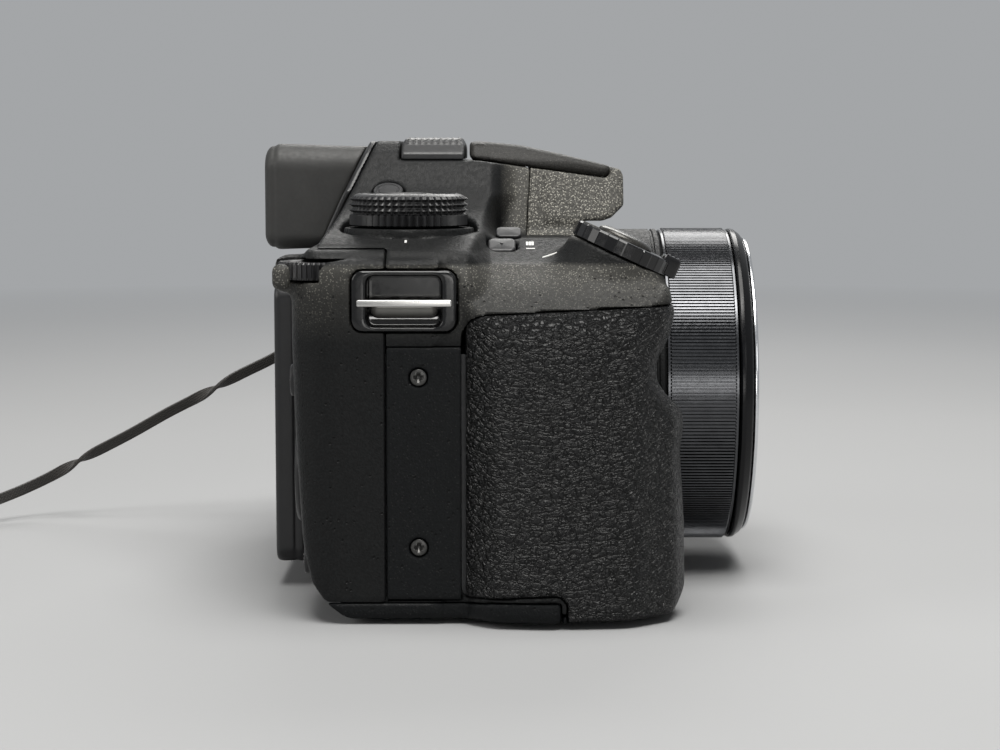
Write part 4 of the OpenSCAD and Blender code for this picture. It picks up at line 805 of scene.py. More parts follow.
def front_shell(x, y, z):
    outer = outer_field(x, y, z)
    d = smax(outer, poly(LOW_ZONE, y, z) + HALF_SEAM, 0.35)
    d = hollow(smax(d, BASE_T + 0.05 - z, 0.3), x, y, z, outer)
    door = np.maximum(np.maximum(-10.95 - y, x - RIGHT - 1.7), z - lip_z(x) - 0.15)
    return cut(d, 0.3, lens_bore(x, y, z), rubber_cut(x, y, z), box(x, y, z, *PANEL_SEAT), door,
               box(x, y, z, *SWITCH_SLOT, 1.0))


def rear_shell(x, y, z):
    outer = outer_field(x, y, z)
    d = smax(outer, SEAM_Y + HALF_SEAM - y, 0.35)
    d = smax(smax(d, z - REAR_Z + HALF_SEAM, 0.35), BASE_T + 0.05 - z, 0.3)
    d = hollow(d, x, y, z, outer)
    for key_x, key_z in KEYS.values():
        d = cut(d, 0.35, rod(x - key_x, z - key_z, KEY_R + 0.22, y, 34, 60))
    d = cut(d, 0.5, rod(x - PAD_AT[0], z - PAD_AT[1], PAD_R + 0.3, y, 34.5, 60))
    slot = rod(x - THUMB_AT[0], y - THUMB_AT[1], 7.9, z, 60.6, 64.75)
    d = cut(d, 0.4, np.minimum(slot, box(x, y, z, *THUMB_SLOT)))
    d = cut(d, 0.25, lug_pocket(x, y, z))
    door = np.maximum(poly(DOOR_PLAN, x, y) - 0.15, z - lip_z(x) - 0.15)
    return cut(d, 0.3, eye_bore(x, y, z), box(x, y, z, *FLAP_SEAT, 0.8), door)


def base_shell(x, y, z):
    d = smax(outer_field(x, y, z), z - BASE_T + 0.05, 0.3)
    d = cut(d, 0.3, np.maximum(poly(DOOR_PLAN, x, y) - 0.2, -z - 5))
    d = cut(d, 0.2, rod(x - DOOR_PIN_X, z - DOOR_PIN_Z, 1.7, y, -11.2, 31.2))
    d = cut(d, 0.3, rubber_cut(x, y, z))
    for at_x, at_y in SCREWS_BASE:
        d = cut(d, 0.25, rod(x - at_x, y - at_y, 1.8, z, -1, 0.9))
    return cut(d, 0.25, rod(x, y, 6.05, z, -5, 5))


def rubber_field(x, y, z):
    grip = cut(grip_field(x, y, z), 1.6, z)
    d = smax(grip - 0.06, poly(RUBBER_ZONE, y, z) + 0.05, 0.6)
    return np.maximum(smax(d, x + 41.1, 0.4), -(grip + 1.15))


def panel_field(x, y, z):
    lo, hi = (RIGHT, PANEL_Y + 0.1, PANEL_Z0 + 0.1), (RIGHT + 1.2, SEAM_Y - 0.08, PANEL_Z1 - 0.1)
    d = box(x, y, z, lo, hi, 0.28)
    for at_y, at_z in SCREWS_PANEL:
        d = cut(d, 0.3, rod(y - at_y, z - at_z, 1.78, x, RIGHT - 1, RIGHT + 0.85))
    return d


def door_field(x, y, z):
    outer = outer_field(x, y, z) + 0.02
    plate = smax(z - 2.2, outer, 0.4)
    rim = smax(np.maximum(outer, x - (RIGHT + 1.5)), z - lip_z(x), 0.45)
    d = smax(np.minimum(plate, rim), poly(DOOR_PLAN, x, y) + 0.1, 0.5)
    d = cut(d, 0.3, box(x, y, z, *LOCK_SEAT, 0.5))
    d = cut(d, 0.2, rod(x - DOOR_PIN_X, z - DOOR_PIN_Z, 1.75, y, -2, 22))
    return d - 0.18 * np.clip(np.sin(y * 2.6), -0.4, 0.4) * ((y > 2) & (y < 12) & (x < -55) & (x > -63))


def cup_field(x, y, z):
    swell = 0.5 * np.clip((44 - y) / 14, 0, 1)
    d = smax(poly(rect(0, 74.8, 20.4, 10.4, [3, 3, 5.2, 5.2]), x, z) + swell, y - 46.3, 3.4)
    d = d + 0.22 * np.exp(-((y - 44.3) / 0.4) ** 2)
    d = smax(d, lean(y, z) + 0.06, 0.5)
    flare = np.clip((y - 38.5) / 8, 0, 1)
    hole = poly(rect(0, 74.9, 13, 7.5, 4), x, z) - 2.8 * flare * flare
    return cut(d, 0.9, np.maximum(hole, 29 - y))


def trim_field(x, y, z):
    """Thin band round the case where the eyecup meets it."""
    body = body_field(x, y, z)
    d = smax(body + 0.05, np.abs(lean(y, z) - 0.78) - 0.6, 0.35)
    return np.maximum(smax(d, 64.6 - z, 0.4), -(body + 2.0))


def mic_field(x, y, z):
    """Plate over the hump with rows of nubs on its top and two slopes, and a plain chamfer below them."""
    plan = np.abs(y - 13.1) - 6.15
    d = smax(smax(poly(MIC_FRONT, x, z), plan, 0.5), plan + 0.55 * (z - 84.9), 0.5)
    run = np.hypot(x, z - 60.0) * np.arctan2(x, z - 60.0)
    row, place = (y - 12.85) / 1.2, run / 1.25
    dy, dr = (row - np.round(row)) * 1.2, (place - np.round(place)) * 1.25
    nubs = (np.abs(row) < 4.4) & (np.abs(place) < 17.4) & (z > 84.0)
    return d - np.where(nubs, 0.26 * np.exp(-(dy * dy + dr * dr) / 0.10), 0)


def monitor_field(x, y, z):
    plan = poly(rect(6.5, 31.4, 38.5, 27.1, 3), x, z)
    d = smax(plan, np.abs(y - 40.35) - 3.05, 1.3)
    d = d + 0.25 * np.exp(-((y - 39.5) / 0.3) ** 2) * (plan > -1)
    d = cut(d, 0.3, np.maximum(np.maximum(np.abs(x - 6.5) - 27.3, 55.1 - z), y - 39.3))
    pocket = np.maximum(poly(rect(6.5, 31.4, 34.1, 24.2, 1.2), x, z), 42.2 - y)
    return cut(d, 0.2, pocket, box(x, y, z, *SCREEN_ROOM))


def lid_shell(x, y, z):
    slots = np.maximum(np.abs(np.abs(x) - 10.7) - 1.35, 1.8 - y)
    return cut(lid_field(x, y, z), 0.15, slots)


def lug_field(face, out):
    """Frame of a strap lug in the case wall at x = face, with a ramp at the back of its window."""
    def field(x, y, z):
        depth = (x - face) * -out
        plate = poly(rect(LUG_Y, LUG_Z, LUG_HALF_Y - 0.08, LUG_HALF_Z - 0.08, 2.1), y, z)
        plate = np.maximum(smax(plate, -depth - 0.32, 0.7), depth - 7.0)
        window = poly(rect(LUG_Y, LUG_Z, 6.5, 4.4, 1.3), y, z) - 0.35 * np.clip(0.6 - depth, 0, 1)
        ramp = np.sqrt((depth - 4.2) ** 2 + (z - LUG_Z + 4.9) ** 2) - 3.2
        return cut(plate, 0.35, cut(np.maximum(window, depth - 5.5), 0.5, ramp))
    return field


def roll_field(face, out):
    """Roll in a strap lug's window, under the bar."""
    def field(x, y, z):
        depth = (x - face) * -out
        along = y - np.clip(y, LUG_Y - 4.6, LUG_Y + 4.6)
        return np.sqrt((depth - 2.4) ** 2 + along ** 2 + (z - LUG_Z + 1.75) ** 2) - 1.35
    return field


# Cord and cap

ROUTE = [
    (48, 14, 55.4), (48, 14, 57.8), (50, 14, 59.7), (52.2, 14.4, 58.2), (52.4, 16, 55.6), (52.2, 22, 52.6),
    (52.2, 30, 49.6), (51.4, 38.5, 45), (50.2, 45.4, 40.4), (49.6, 51.7, 36.6), (49.5, 60.2, 32.4),
    (49.5, 68.5, 27.9), (49.5, 76.1, 24), (49.5, 85, 19), (49.5, 95, 13.8), (48.8, 102.4, 9.7),
    (46.5, 108.7, 6.8), (41.5, 114, 5), (34, 118.6, 3.9), (27, 121.4, 3.4), (24, 123, 3.3)]
TAPE_W, TAPE_T, TWIST_EVERY, FIRST_TWIST, THREAD = 2.6, 0.9, 36.0, 14, 0.42


def spline(points, steps):
    p = np.array(points, float)
    out = []
    for i in range(len(p) - 1):
        a, b, c, d = p[max(i - 1, 0)], p[i], p[i + 1], p[min(i + 2, len(p) - 1)]
        for k in range(steps):
            t = k / steps
            out.append(0.5 * (2 * b + (c - a) * t + (2 * a - 5 * b + 4 * c - d) * t * t
                              + (3 * b - a - 3 * c + d) * t ** 3))
    return np.array(out + [p[-1]])


def tape_section():
    """Flat tape across: rounded edges and thread ridges on each face."""
    side = []
    for k in range(16):
        u = -1 + 2 * (k + 0.5) / 16
        edge = math.sqrt(max(1 - max(abs(u) - 0.7, 0) ** 2 / 0.09, 0))
        side.append((u * TAPE_W / 2, TAPE_T / 2 * edge * (0.86 + 0.14 * math.cos(u * math.pi * 5))))
    return np.array(side + [(-u, -v) for u, v in side])


def make_tape():
    line = spline(ROUTE, 10)
    run = np.concatenate([[0], np.cumsum(np.linalg.norm(np.diff(line, axis=0), axis=1))])
    section = tape_section()
    n, last = len(section), len(line) - 1
    verts, up = [], np.array((1.0, 0.0, 0.0))
    for i, p in enumerate(line):
        t = line[min(i + 1, last)] - line[max(i - 1, 0)]
        t /= np.linalg.norm(t)
        up = up - t * (up @ t)
        up /= np.linalg.norm(up)
        side = np.cross(t, up)
        f = (run[i] - FIRST_TWIST) / TWIST_EVERY
        s = np.clip((f - math.floor(f) - 0.3) / 0.4, 0, 1)
        a = math.pi * (math.floor(f) + s * s * (3 - 2 * s))
        u, v = math.cos(a) * side + math.sin(a) * up, -math.sin(a) * side + math.cos(a) * up
        verts.append(p + np.outer(section[:, 0], u) + np.outer(section[:, 1], v))
    faces = [list(range(n)), *strip(len(line), n), [last * n + k for k in range(n)][::-1]]
    o = piece("tether_tape_woven", (np.concatenate(verts), faces), "tape", "cap_tether")
    uv = o.data.uv_layers.new(name="weave").data
    for corner, loop in enumerate(o.data.loops):
        ring, at = divmod(loop.vertex_index, n)
        uv[corner].uv = (at * TAPE_W * 2 / n / THREAD, run[ring] / THREAD)
    return o, line * MM, float(run[-1]) * MM


def tab_field(x, y, z):
    """Eyelet at the cap's rim."""
    cx = CAP_AT[0]
    d = box(x, y, z, (cx - 3.4, TAB_Y, 0.05), (cx + 3.4, TAB_Y + TAB_LENGTH + 3, 2.0), 0.5)
    return cut(d, 0.3, box(x, y, z, (cx - 2, TAB_Y + 1.2, -2), (cx + 2, TAB_Y + 2.6, 4), 0.4))


def clasp_field(x, y, z):
    """Moulded loop at the tape's end, hooked over the bar of the cap's eyelet."""
    cx = CAP_AT[0]
    d = box(x, y, z, (cx - 1.7, TAB_Y - 2.6, 0.4), (cx + 1.7, TAB_Y + 2.4, 4.5), 0.7)
    return cut(d, 0.2, box(x, y, z, (cx - 9, TAB_Y - 0.25, -3), (cx + 9, TAB_Y + 1.45, 2.2), 0.2))


def make_cap():
    """Turned cap, inside up, with ribs on its rim, six spokes and the eyelet."""
    profile = rounded(
        [(0, 0.05), (29.7, 0.05), (30.6, 0.8), (30.5, 1.6), (29.9, 2.0), (26.0, 2.0), (24.84, 2.3),
         (24.84, 5.9), (24.3, 6.0), (23.6, 6.0), (23.44, 5.7), (23.44, 1.3), (22.6, 1.2), (12.0, 1.2),
         (11.6, 1.5), (10.9, 1.5), (10.5, 1.2), (0, 1.2)],
        [0, 0.2, 0.4, 0.4, 0.2, 0.3, 0.3, 0.2, 0.1, 0.1, 0.1, 0.3, 0.2, 0.1, 0.1, 0.1, 0.1, 0])
    at = (*CAP_AT, 0)
    parts = [put(lathe(profile, 480, ribs(120, 0.25, 30.3)), UP, at)]
    spoke = prism(rect(17.2, 0, 6.0, 0.45, 0.2), 1.1, 2.2, 0, 0.2)
    for k in range(6):
        c, s = math.cos(math.radians(60 * k + 30)), math.sin(math.radians(60 * k + 30))
        parts.append(put(spoke, ((c, s, 0), (-s, c, 0), (0, 0, 1)), at))
    x, y, z = grid((CAP_AT[0] - 4, TAB_Y - 0.6, -0.6), (CAP_AT[0] + 4, TAB_Y + 8, 2.6), DETAIL_STEP)
    parts.append(nets(x, y, z, tab_field(x, y, z)))
    piece("lens_cap_turned", parts, "satin", "lens_cap")


tape, tape_path, tape_length = make_tape()
make_cap()
clasp = carve("tether_end_clasp", clasp_field, (CAP_AT[0] - 2.4, TAB_Y - 3.3, -0.2),
              (CAP_AT[0] + 2.4, TAB_Y + 3.1, 5.2), DETAIL_STEP * 0.7, "satin")


# Covers: piece, field, box to mesh, step, finish, and the node and body where it has them

BIG, FINE, SMALL = COVER_STEP, DETAIL_STEP * 1.1, DETAIL_STEP * 0.8
COVERS = (
    ("top_cover_shell", top_shell, (-75, -36, 48.6), (50.5, 43, 87.5), BIG, "shell", "top_cover"),
    ("flash_nose_shell", nose_shell, (-28.4, -26, 65.6), (28.4, -3, 86), BIG * 0.8, "nose", "top_cover"),
    ("front_cover_shell", front_shell, (-74, -36, 1.8), (50.5, 21.5, 56.5), BIG, "shell", "front_cover"),
    ("rear_cover_shell", rear_shell, (-68.5, 19.2, 1.8), (50.5, 42, 67.5), BIG, "shell", "rear_cover"),
    ("base_cover_plate", base_shell, (-74, -36, -0.6), (50.5, 37, 3.2), BIG, "panel", "base_cover"),
    ("grip_rubber_skin", rubber_field, (-74.5, -36.5, 0), (-40, 8, 57), BIG * 0.9, "rubber", "grip_rubber"),
    ("side_panel_plate", panel_field, (-67.8, 6, 3.4), (-65.2, 21, 50.2), DETAIL_STEP, "panel", "side_panel"),
    ("battery_door_plate", door_field, (-73.8, -12.2, -0.6), (-36.5, 32.5, 5.4), DETAIL_STEP * 1.2, "panel",
     "battery_door", "battery_door"),
    ("eyecup_moulding", cup_field, (-21.5, 24, 63.4), (21.5, 47.2, 86.4), FINE, "cup", "eyecup"),
    ("eyecup_trim_band", trim_field, (-29, 22, 63.6), (29, 37, 87), DETAIL_STEP, "satin"),
    ("mic_cover_plate", mic_field, (-23.6, 5.8, 81.4), (23.6, 19.9, 87.2), NUB_STEP, "satin", "mic_cover"),
    ("monitor_case_shell", monitor_field, (-33, 36.6, 3.5), (46, 44.2, 59.3), FINE, "satin", "monitor_case",
     "monitor"),
    ("lug_frame_right_moulding", lug_field(RIGHT, -1), (-67.9, 6.8, 51.3), (-59.4, 27, 63.7), SMALL, "gloss",
     "lug_frame_right"),
    ("lug_frame_left_moulding", lug_field(LEFT, 1), (41.4, 6.8, 51.3), (49.9, 27, 63.7), SMALL, "gloss",
     "lug_frame_left"),
    ("flash_lid_shell", lid_shell, (-20.6, -23, 77.4), (20.6, 6.6, 86.4), FINE, "lid", "flash_lid", "flash"),
    ("lug_guard_right", roll_field(RIGHT, -1), (-66.4, 10.3, 53.6), (-62.8, 23.5, 57.8), SMALL, "guard"),
    ("lug_guard_left", roll_field(LEFT, 1), (44.8, 10.3, 53.6), (48.4, 23.5, 57.8), SMALL, "guard"),
)
for row in COVERS:
    carve(*row)


def screw_head(r=1.5, h=0.8):
    """Cross-head screw top: domed disc with a cross recess."""
    u, v, w = grid((-r - 0.3, -r - 0.3, -0.4), (r + 0.3, r + 0.3, h + 0.4), 0.11)
    d = smax(np.sqrt(u * u + v * v) - r, np.maximum(w - h + 0.07 * (u * u + v * v), -w), 0.2)
    t = np.maximum(w, 0) / h
    half, reach = 0.23 + 0.10 * t, 0.95 * t
    bars = [np.maximum(np.abs(a) - half, np.abs(b) - reach - 0.1) for a, b in ((u, v), (v, u))]
    return nets(u, v, w, cut(d, 0.08, np.maximum(np.minimum(*bars), 0.1 - w)))


def make_screws():
    head = screw_head()
    parts = [put(head, TO_RIGHT, (RIGHT + 0.87, y, z)) for y, z in SCREWS_PANEL]
    parts += [put(head, TO_UNDER, (x, y, 0.87)) for x, y in SCREWS_BASE]
    piece("case_screws_cross", parts, "screw", "case_screws")


def make_lug_bars():
    """A bar outside each lug window, bent inward at both ends."""
    parts = []
    for face, out in ((RIGHT, -1), (LEFT, 1)):
        bar = prism(rect(-face - out * 1.05, 57.2, 0.55, 0.62, 0.3, 0.15), 8.4, 25.2, 0.35, 0.35)
        parts.append(put(bar, TO_REAR))
        lo, hi = sorted((face + out * 1.1, face - out * 0.6))
        for y in (9.2, 24.4):
            parts.append(put(prism(rect(y, 57.2, 0.5, 0.5, 0.3, 0.15), lo, hi, 0.1, 0.1), TO_LEFT))
    piece("lug_bars_bent", parts, "steel", "lug_bars")


make_screws()
make_lug_bars()


# Lens

def turned(name, profile, place, mat, node=None, body="camera", sharp=32.0, n=TURN, teeth=None):
    piece(name, put(lathe(profile, n, teeth), *place), mat, node, body, sharp)


def lens(r, rim, bulge_front, thick, bulge_back):
    """Profile of a glass with two bulged faces."""
    t = np.linspace(0, 1, 20)
    top = [(r * k, rim + bulge_front * (1 - k * k)) for k in t]
    back = [(r * k, rim - thick - bulge_back * (1 - k * k)) for k in t[::-1]]
    return top + [(r + 0.05, rim - 0.2), (r + 0.05, rim - thick + 0.2)] + back


def make_lens():
    collar = rounded(
        [(29.13, 8), (13, 8), (13, -9), (15, -9), (15, 6), (31.7, 6), (31.7, 30.2), (31.35, 30.35),
         (31.35, 30.75), (31.7, 30.9), (31.7, 31.7), (31.3, 32.1), (30.3, 32.1), (30.3, 46.35),
         (29.13, 46.35)], 0.08)
    turned("lens_base_collar", collar, LENS, "shell", "lens_base")
    rib_count = 290
    ring = [(30.4, 32.3), (31.4, 32.3), (31.58, 32.45), (31.58, 32.85), (31.9, 33.1), (31.9, 45.4),
            (31.58, 45.65), (31.58, 46.05), (31.4, 46.2), (30.4, 46.2)]
    turned("lens_ring_ribbed", ring, LENS, "ring", "lens_ring", "control_ring", sharp=24,
           n=rib_count * 8, teeth=ribs(rib_count, 0.36, 31.75))
    bezel = rounded(
        [(29.16, 46.45), (31.55, 46.45), (31.8, 46.7), (31.75, 47.5), (30.9, 48.7), (30.35, 49.08),
         (29.5, 49.1), (29.16, 48.9)], [0, 0.1, 0.3, 0.5, 0.5, 0.3, 0.2, 0.1], 0.1)
    turned("front_bezel_turned", bezel, LENS, "bezel", "front_bezel", sharp=40)
    outer = [(27.86, 14), (29.0, 14), (29.04, 14.2), (29.04, 44.6), (28.85, 44.7), (28.85, 45.1),
             (29.04, 45.2), (29.04, 45.8), (28.8, 46.0), (27.86, 46.0)]
    turned("outer_barrel_tube", outer, LENS, "bezel", "outer_barrel", "outer_barrel")
    inner = [(26.58, 12), (27.7, 12), (27.76, 12.2), (27.76, 47.6), (27.55, 47.7), (27.55, 48.1),
             (27.76, 48.2), (27.76, 49.1), (27.6, 49.2), (24.96, 49.2), (24.96, 46.9), (25.4, 46.8),
             (26.58, 46.2)]
    turned("inner_barrel_tube", inner, LENS, "bezel", "inner_barrel", "inner_barrel")
    trim = rounded(
        [(28.4, 49.25), (29.9, 49.25), (30.12, 49.45), (30.08, 49.85), (29.8, 50.08), (28.9, 50.1),
         (28.4, 49.8)], [0, 0.1, 0.15, 0.15, 0.12, 0.1, 0], 0.06)
    turned("trim_ring_bright", trim, LENS, "chrome", "trim_ring", "inner_barrel")
    face = [(24.98, 49.25), (28.36, 49.25), (28.36, 49.75), (27.8, 49.85), (27.5, 49.6), (26.9, 49.55),
            (26.7, 49.3), (26.1, 49.6), (25.3, 49.5), (24.98, 49.3)]
    turned("front_ring_black", face, LENS, "satin", None, "inner_barrel")
    front = lens(26.3, 44.2, 1.75, 5.5, 2.2)
    turned("front_lens_glass", front, LENS, "glass", "front_lens", "inner_barrel", sharp=30)
    cone = []
    for k in range(5):
        r, w = 26.4 - 1.05 * k, 37.0 - 1.2 * k
        cone += [(r, w), (r - 0.85, w - 0.1)]
    cone += [(21.3, 31.2), (26.4, 35.8)]
    turned("lens_light_baffle", cone, LENS, "dark", "inner_barrel", "inner_barrel")


make_lens()


# Top controls

LEVER_FACETS = 32


def facets(r, angle):
    """Flats round the zoom lever's rim for lathe(), every second one a little lower."""
    if r < 8.5:
        return np.full(len(angle), r)
    step = 2 * math.pi / LEVER_FACETS
    return r * (math.cos(step / 2) / np.cos(angle % step - step / 2)) - 0.12 * (np.floor(angle / step) % 2)


def toothed(word, profile, place, teeth, per_tooth, depth, lo):
    turned(f"{word}_toothed", profile, place, "satin", word, word, sharp=22, n=teeth * per_tooth,
           teeth=ribs(teeth, depth, lo, vee=True))


def make_mode_dial():
    dial = [(0, 0), (10.5, 0), (10.9, 0.25), (10.9, 2.05), (10.55, 2.25), (10.2, 2.4)]
    for low in (2.45, 3.5, 4.55):
        dial += [(10.2, low), (11.0, low + 0.48), (10.2, low + 0.96)]
    dial += [(10.05, 5.6), (9.6, 5.85), (9.2, 5.95), (8.9, 5.95), (8.7, 5.75), (0, 5.75)]
    toothed("mode_dial", dial, DIAL, 48, 12, 0.75, 10.5)


def make_small_wheels():
    thumb = [(0, 61.05), (7.1, 61.05), (7.5, 61.4), (7.5, 63.8), (7.1, 64.15), (5.6, 64.15), (5.3, 63.95),
             (0, 63.95)]
    toothed("thumb_dial", thumb, (UP, (*THUMB_AT, 0)), 48, 8, 0.42, 7.3)
    diopter = [(0, 21.65), (3.9, 21.65), (4.2, 21.95), (4.2, 23.8), (3.85, 24.15), (2.6, 24.15), (2.4, 24.0),
               (0, 24.0)]
    toothed("diopter_wheel", diopter, (TO_LEFT, (0, *DIOPTER_AT[1:])), 36, 8, 0.3, 4.0)


def make_top_keys():
    lever = [(4.0, 0.1), (8.9, 0.1), (9.25, 0.35), (9.25, 2.65), (9.0, 2.95), (8.3, 3.05), (6.5, 2.85),
             (5.8, 2.55), (5.66, 1.5), (4.0, 1.5)]
    tab = rounded([(-3.0, -7.4), (-1.9, -11.0), (1.9, -11.0), (3.0, -7.4)], [0.5, 1.0, 1.0, 0.5], 0.15)
    parts = [lathe(lever, LEVER_FACETS * 8, facets), prism(tab, 0.36, 4.05, 0.3, 0.9, 0.0, 5)]
    for k in range(3):
        parts.append(prism(rect(0, -8.6 - 0.9 * k, 1.7 - 0.2 * k, 0.22, 0.15, 0.1), 3.9, 4.1, 0, 0.08))
    piece("zoom_lever_ring", [put(p, *SHUTTER) for p in parts], "gloss", "zoom_lever", "zoom_lever", sharp=12)
    dome = [(0, 2.75), (5.15, 2.75), (5.25, 2.95), (5.18, 3.4), (4.9, 3.75), (4.3, 4.0), (3.4, 4.17),
            (2.3, 4.28), (1.2, 4.34), (0, 4.36)]
    turned("shutter_button_dome", dome, SHUTTER, "button", "shutter_button", "shutter_button", sharp=50)
    custom = [prism(CUSTOM_KEY, -2.0, 0.85, 0, 0.5, 0.12), prism(disc(0.3, 20, 0.0, 0.3), 0.8, 1.12, 0, 0.12)]
    piece("custom_button_cap", [put(p, *CUSTOM) for p in custom], "satin", "custom_button", "custom_button")
    focus = prism(rect(0, 0, 1.9, 2.4, 1.0, 0.15), -2.0, 0.75, 0, 0.35, 0.1)
    piece("focus_button_cap", put(focus, *FOCUS), "satin", "focus_button", "focus_button")
    power = [(0, -2), (2.85, -2), (2.85, 0.3), (2.7, 0.48), (2.2, 0.5), (2.1, 0.42), (1.8, 0.42), (1.7, 0.5),
             (0.8, 0.56), (0, 0.58)]
    turned("power_button_cap", power, POWER, "satin", "power_button", "power_button", n=96)


make_mode_dial()
make_top_keys()
make_small_wheels()


# Rear controls

def surface(axis, lo, hi, step, at):
    """Outermost value of the case's form along one axis, on the line through at."""
    p = [np.full(1, v, np.float32) for v in at]
    p[axis] = np.arange(lo, hi, step, dtype=np.float32)
    return float(p[axis][np.nonzero(outer_field(*p) < 0)[0][-1]])


def rear_y(x, z):
    return surface(1, 30, 42, 0.05, (x, 0, z))


KEY_TOP = {word: rear_y(*at) + 0.75 for word, at in KEYS.items()}
PAD_Y = rear_y(*PAD_AT)
KEY_DOME = 0.12


def make_rear_keys():
    for word, place in REAR_KEYS.items():
        key = prism(disc(KEY_R - 0.06, 56), 33.5, KEY_TOP[word], 0, 0.4, KEY_DOME)
        piece(f"{word}_button_cap", put(key, *place), "satin", f"{word}_button", f"{word}_button")
    pad = rounded(
        [(4.42, PAD_Y - 2.6), (9.42, PAD_Y - 2.6), (9.42, PAD_Y + 0.35), (8.9, PAD_Y + 0.95),
         (6.6, PAD_Y + 0.7), (4.8, PAD_Y + 0.45), (4.42, PAD_Y + 0.2)], [0, 0, 0.4, 0.5, 1.5, 0.3, 0.1], 0.15)
    turned("control_pad_ring", pad, PAD, "satin", "control_pad", "control_pad")
    centre = prism(disc(3.85, 64), PAD_Y - 0.8, PAD_Y + 0.7, 0, 0.35, 0.15)
    piece("centre_button_cap", put(centre, *PAD), "satin", "centre_button", "centre_button")


def make_rear_glass():
    pane = prism(rect(-6.5, 31.4, 33.9, 24.0, 1.0), 42.32, 43.28, 0.1, 0.25)
    piece("monitor_glass_pane", put(pane, TO_REAR), "cover_glass", "monitor_glass", "monitor")
    turned("eyepiece_lens_glass", lens(6.9, 29.2, 0.7, 3.4, 0.4), (TO_REAR, (0, 0, FINDER_Z)), "glass",
           "eyepiece_lens", n=96)


make_rear_keys()
make_rear_glass()


# Front, far side and underside

def make_small_parts():
    lamp = [(0, 14.5), (2.95, 14.5), (2.95, 16.05), (2.75, 16.2), (2.4, 16.22), (2.3, 16.1), (1.2, 16.25),
            (0, 16.28)]
    turned("lamp_window_lens", lamp, LAMP, "lamp", "lamp_window", n=72)
    switch = [prism(rect(0, 0, 2.05, 2.55, 0.5, 0.15), 15.3, 16.35, 0, 0.3)]
    switch += [prism(rect(0, k * 0.85, 1.5, 0.2, 0.15, 0.1), 16.3, 16.58, 0, 0.1) for k in range(-2, 3)]
    piece("focus_switch_knob", [put(p, *SWITCH) for p in switch], "satin", "focus_switch", "focus_switch")
    mid_y, mid_z = sum(FLAP_Y) / 2, sum(FLAP_Z) / 2
    flap = [prism(rect(mid_y - 0.1, mid_z, 4.35, 12.9, 0.9), LEFT - 1.4, LEFT - 0.12, 0, 0.3)]
    for k in range(3):
        rib = rect(FLAP_Y[0] + 1.2 + 0.75 * k, mid_z, 0.22, 4.5, 0.2, 0.1)
        flap.append(prism(rib, LEFT - 0.3, LEFT - 0.02, 0, 0.1))
    flap = [put(p, TO_LEFT) for p in flap]
    piece("connector_cover_flap", flap, "panel", "connector_cover", "connector_cover")
    x, y = LOCK_AT
    lock = [prism(rect(x, y, 2.95, 1.95, 0.5, 0.15), -1.1, -0.35, 0, 0.25)]
    lock += [prism(rect(x, y + 0.65 * k, 2.2, 0.15, 0.1, 0.1), -0.4, -0.16, 0, 0.08) for k in range(-2, 3)]
    piece("door_lock_slider", [put(p, TO_UNDER) for p in lock], "satin", "door_lock", "door_lock")


make_small_parts()


# Marks

def strokes(lines, width, w0, w1):
    """Painted lines as thin raised bars."""
    out = []
    for line in lines:
        for a, b in zip(line[:-1], line[1:]):
            a, b = np.array(a, float), np.array(b, float)
            d = (b - a) / (np.linalg.norm(b - a) + 1e-9)
            n = np.array((-d[1], d[0])) * width / 2
            e = d * width / 2
            out.append(prism(np.array([a - e - n, b + e - n, b + e + n, a - e + n]), w0, w1, 0, 0.01, 0.0, 1))
    return out


def ringline(r, n=20):
    return [(r * math.cos(t), r * math.sin(t)) for t in np.linspace(0, 2 * math.pi, n + 1)]


DIAL_SIGNS = [
    [[(-0.3, 0.5), (0, 0.8), (0, -0.8)]],
    [[(-0.5, 0.5), (0, 0.8), (0.5, 0.4), (-0.5, -0.8), (0.5, -0.8)]],
    [ringline(0.65)],
    [[(-0.8, -0.6), (0.8, -0.6), (0, 0.8), (-0.8, -0.6)]],
    [[(-0.7, -0.6), (0.7, -0.6), (0.7, 0.6), (-0.7, 0.6), (-0.7, -0.6)]],
    [[(-0.7, 0), (0.7, 0)], [(0, -0.7), (0, 0.7)]],
    [ringline(0.7), ringline(0.25, 10)],
    [[(-0.8, -0.3), (-0.3, 0.4), (0.1, -0.2), (0.8, 0.6)]],
    [[(-0.5, 0.8), (0.5, 0.8), (0, 0.1), (0.4, -0.3), (0, -0.8), (-0.5, -0.6)]],
]
KEY_SIGNS = {
    "play": [[(-0.8, -0.9), (1.0, 0), (-0.8, 0.9), (-0.8, -0.9)]],
    "menu": [[(-1.1, 0.7), (1.1, 0.7)], [(-1.1, 0), (1.1, 0)], [(-1.1, -0.7), (1.1, -0.7)]],
    "delete": [[(-1.0, 0.7), (1.0, 0.7)], [(-0.7, 0.6), (-0.5, -1.0), (0.5, -1.0), (0.7, 0.6)]],
}


def make_dial_marks():
    parts = []
    for k, sign in enumerate(DIAL_SIGNS):
        a = 2 * math.pi * k / len(DIAL_SIGNS) + 0.2
        radial, along = np.array((math.cos(a), math.sin(a))), np.array((-math.sin(a), math.cos(a)))
        lines = [[tuple(radial * (6.9 + v) - along * u) for u, v in line] for line in sign]
        parts += [put(s, *DIAL) for s in strokes(lines, 0.26, 5.74, 5.79)]
    piece("mode_dial_marks", parts, "mark", None, "mode_dial")


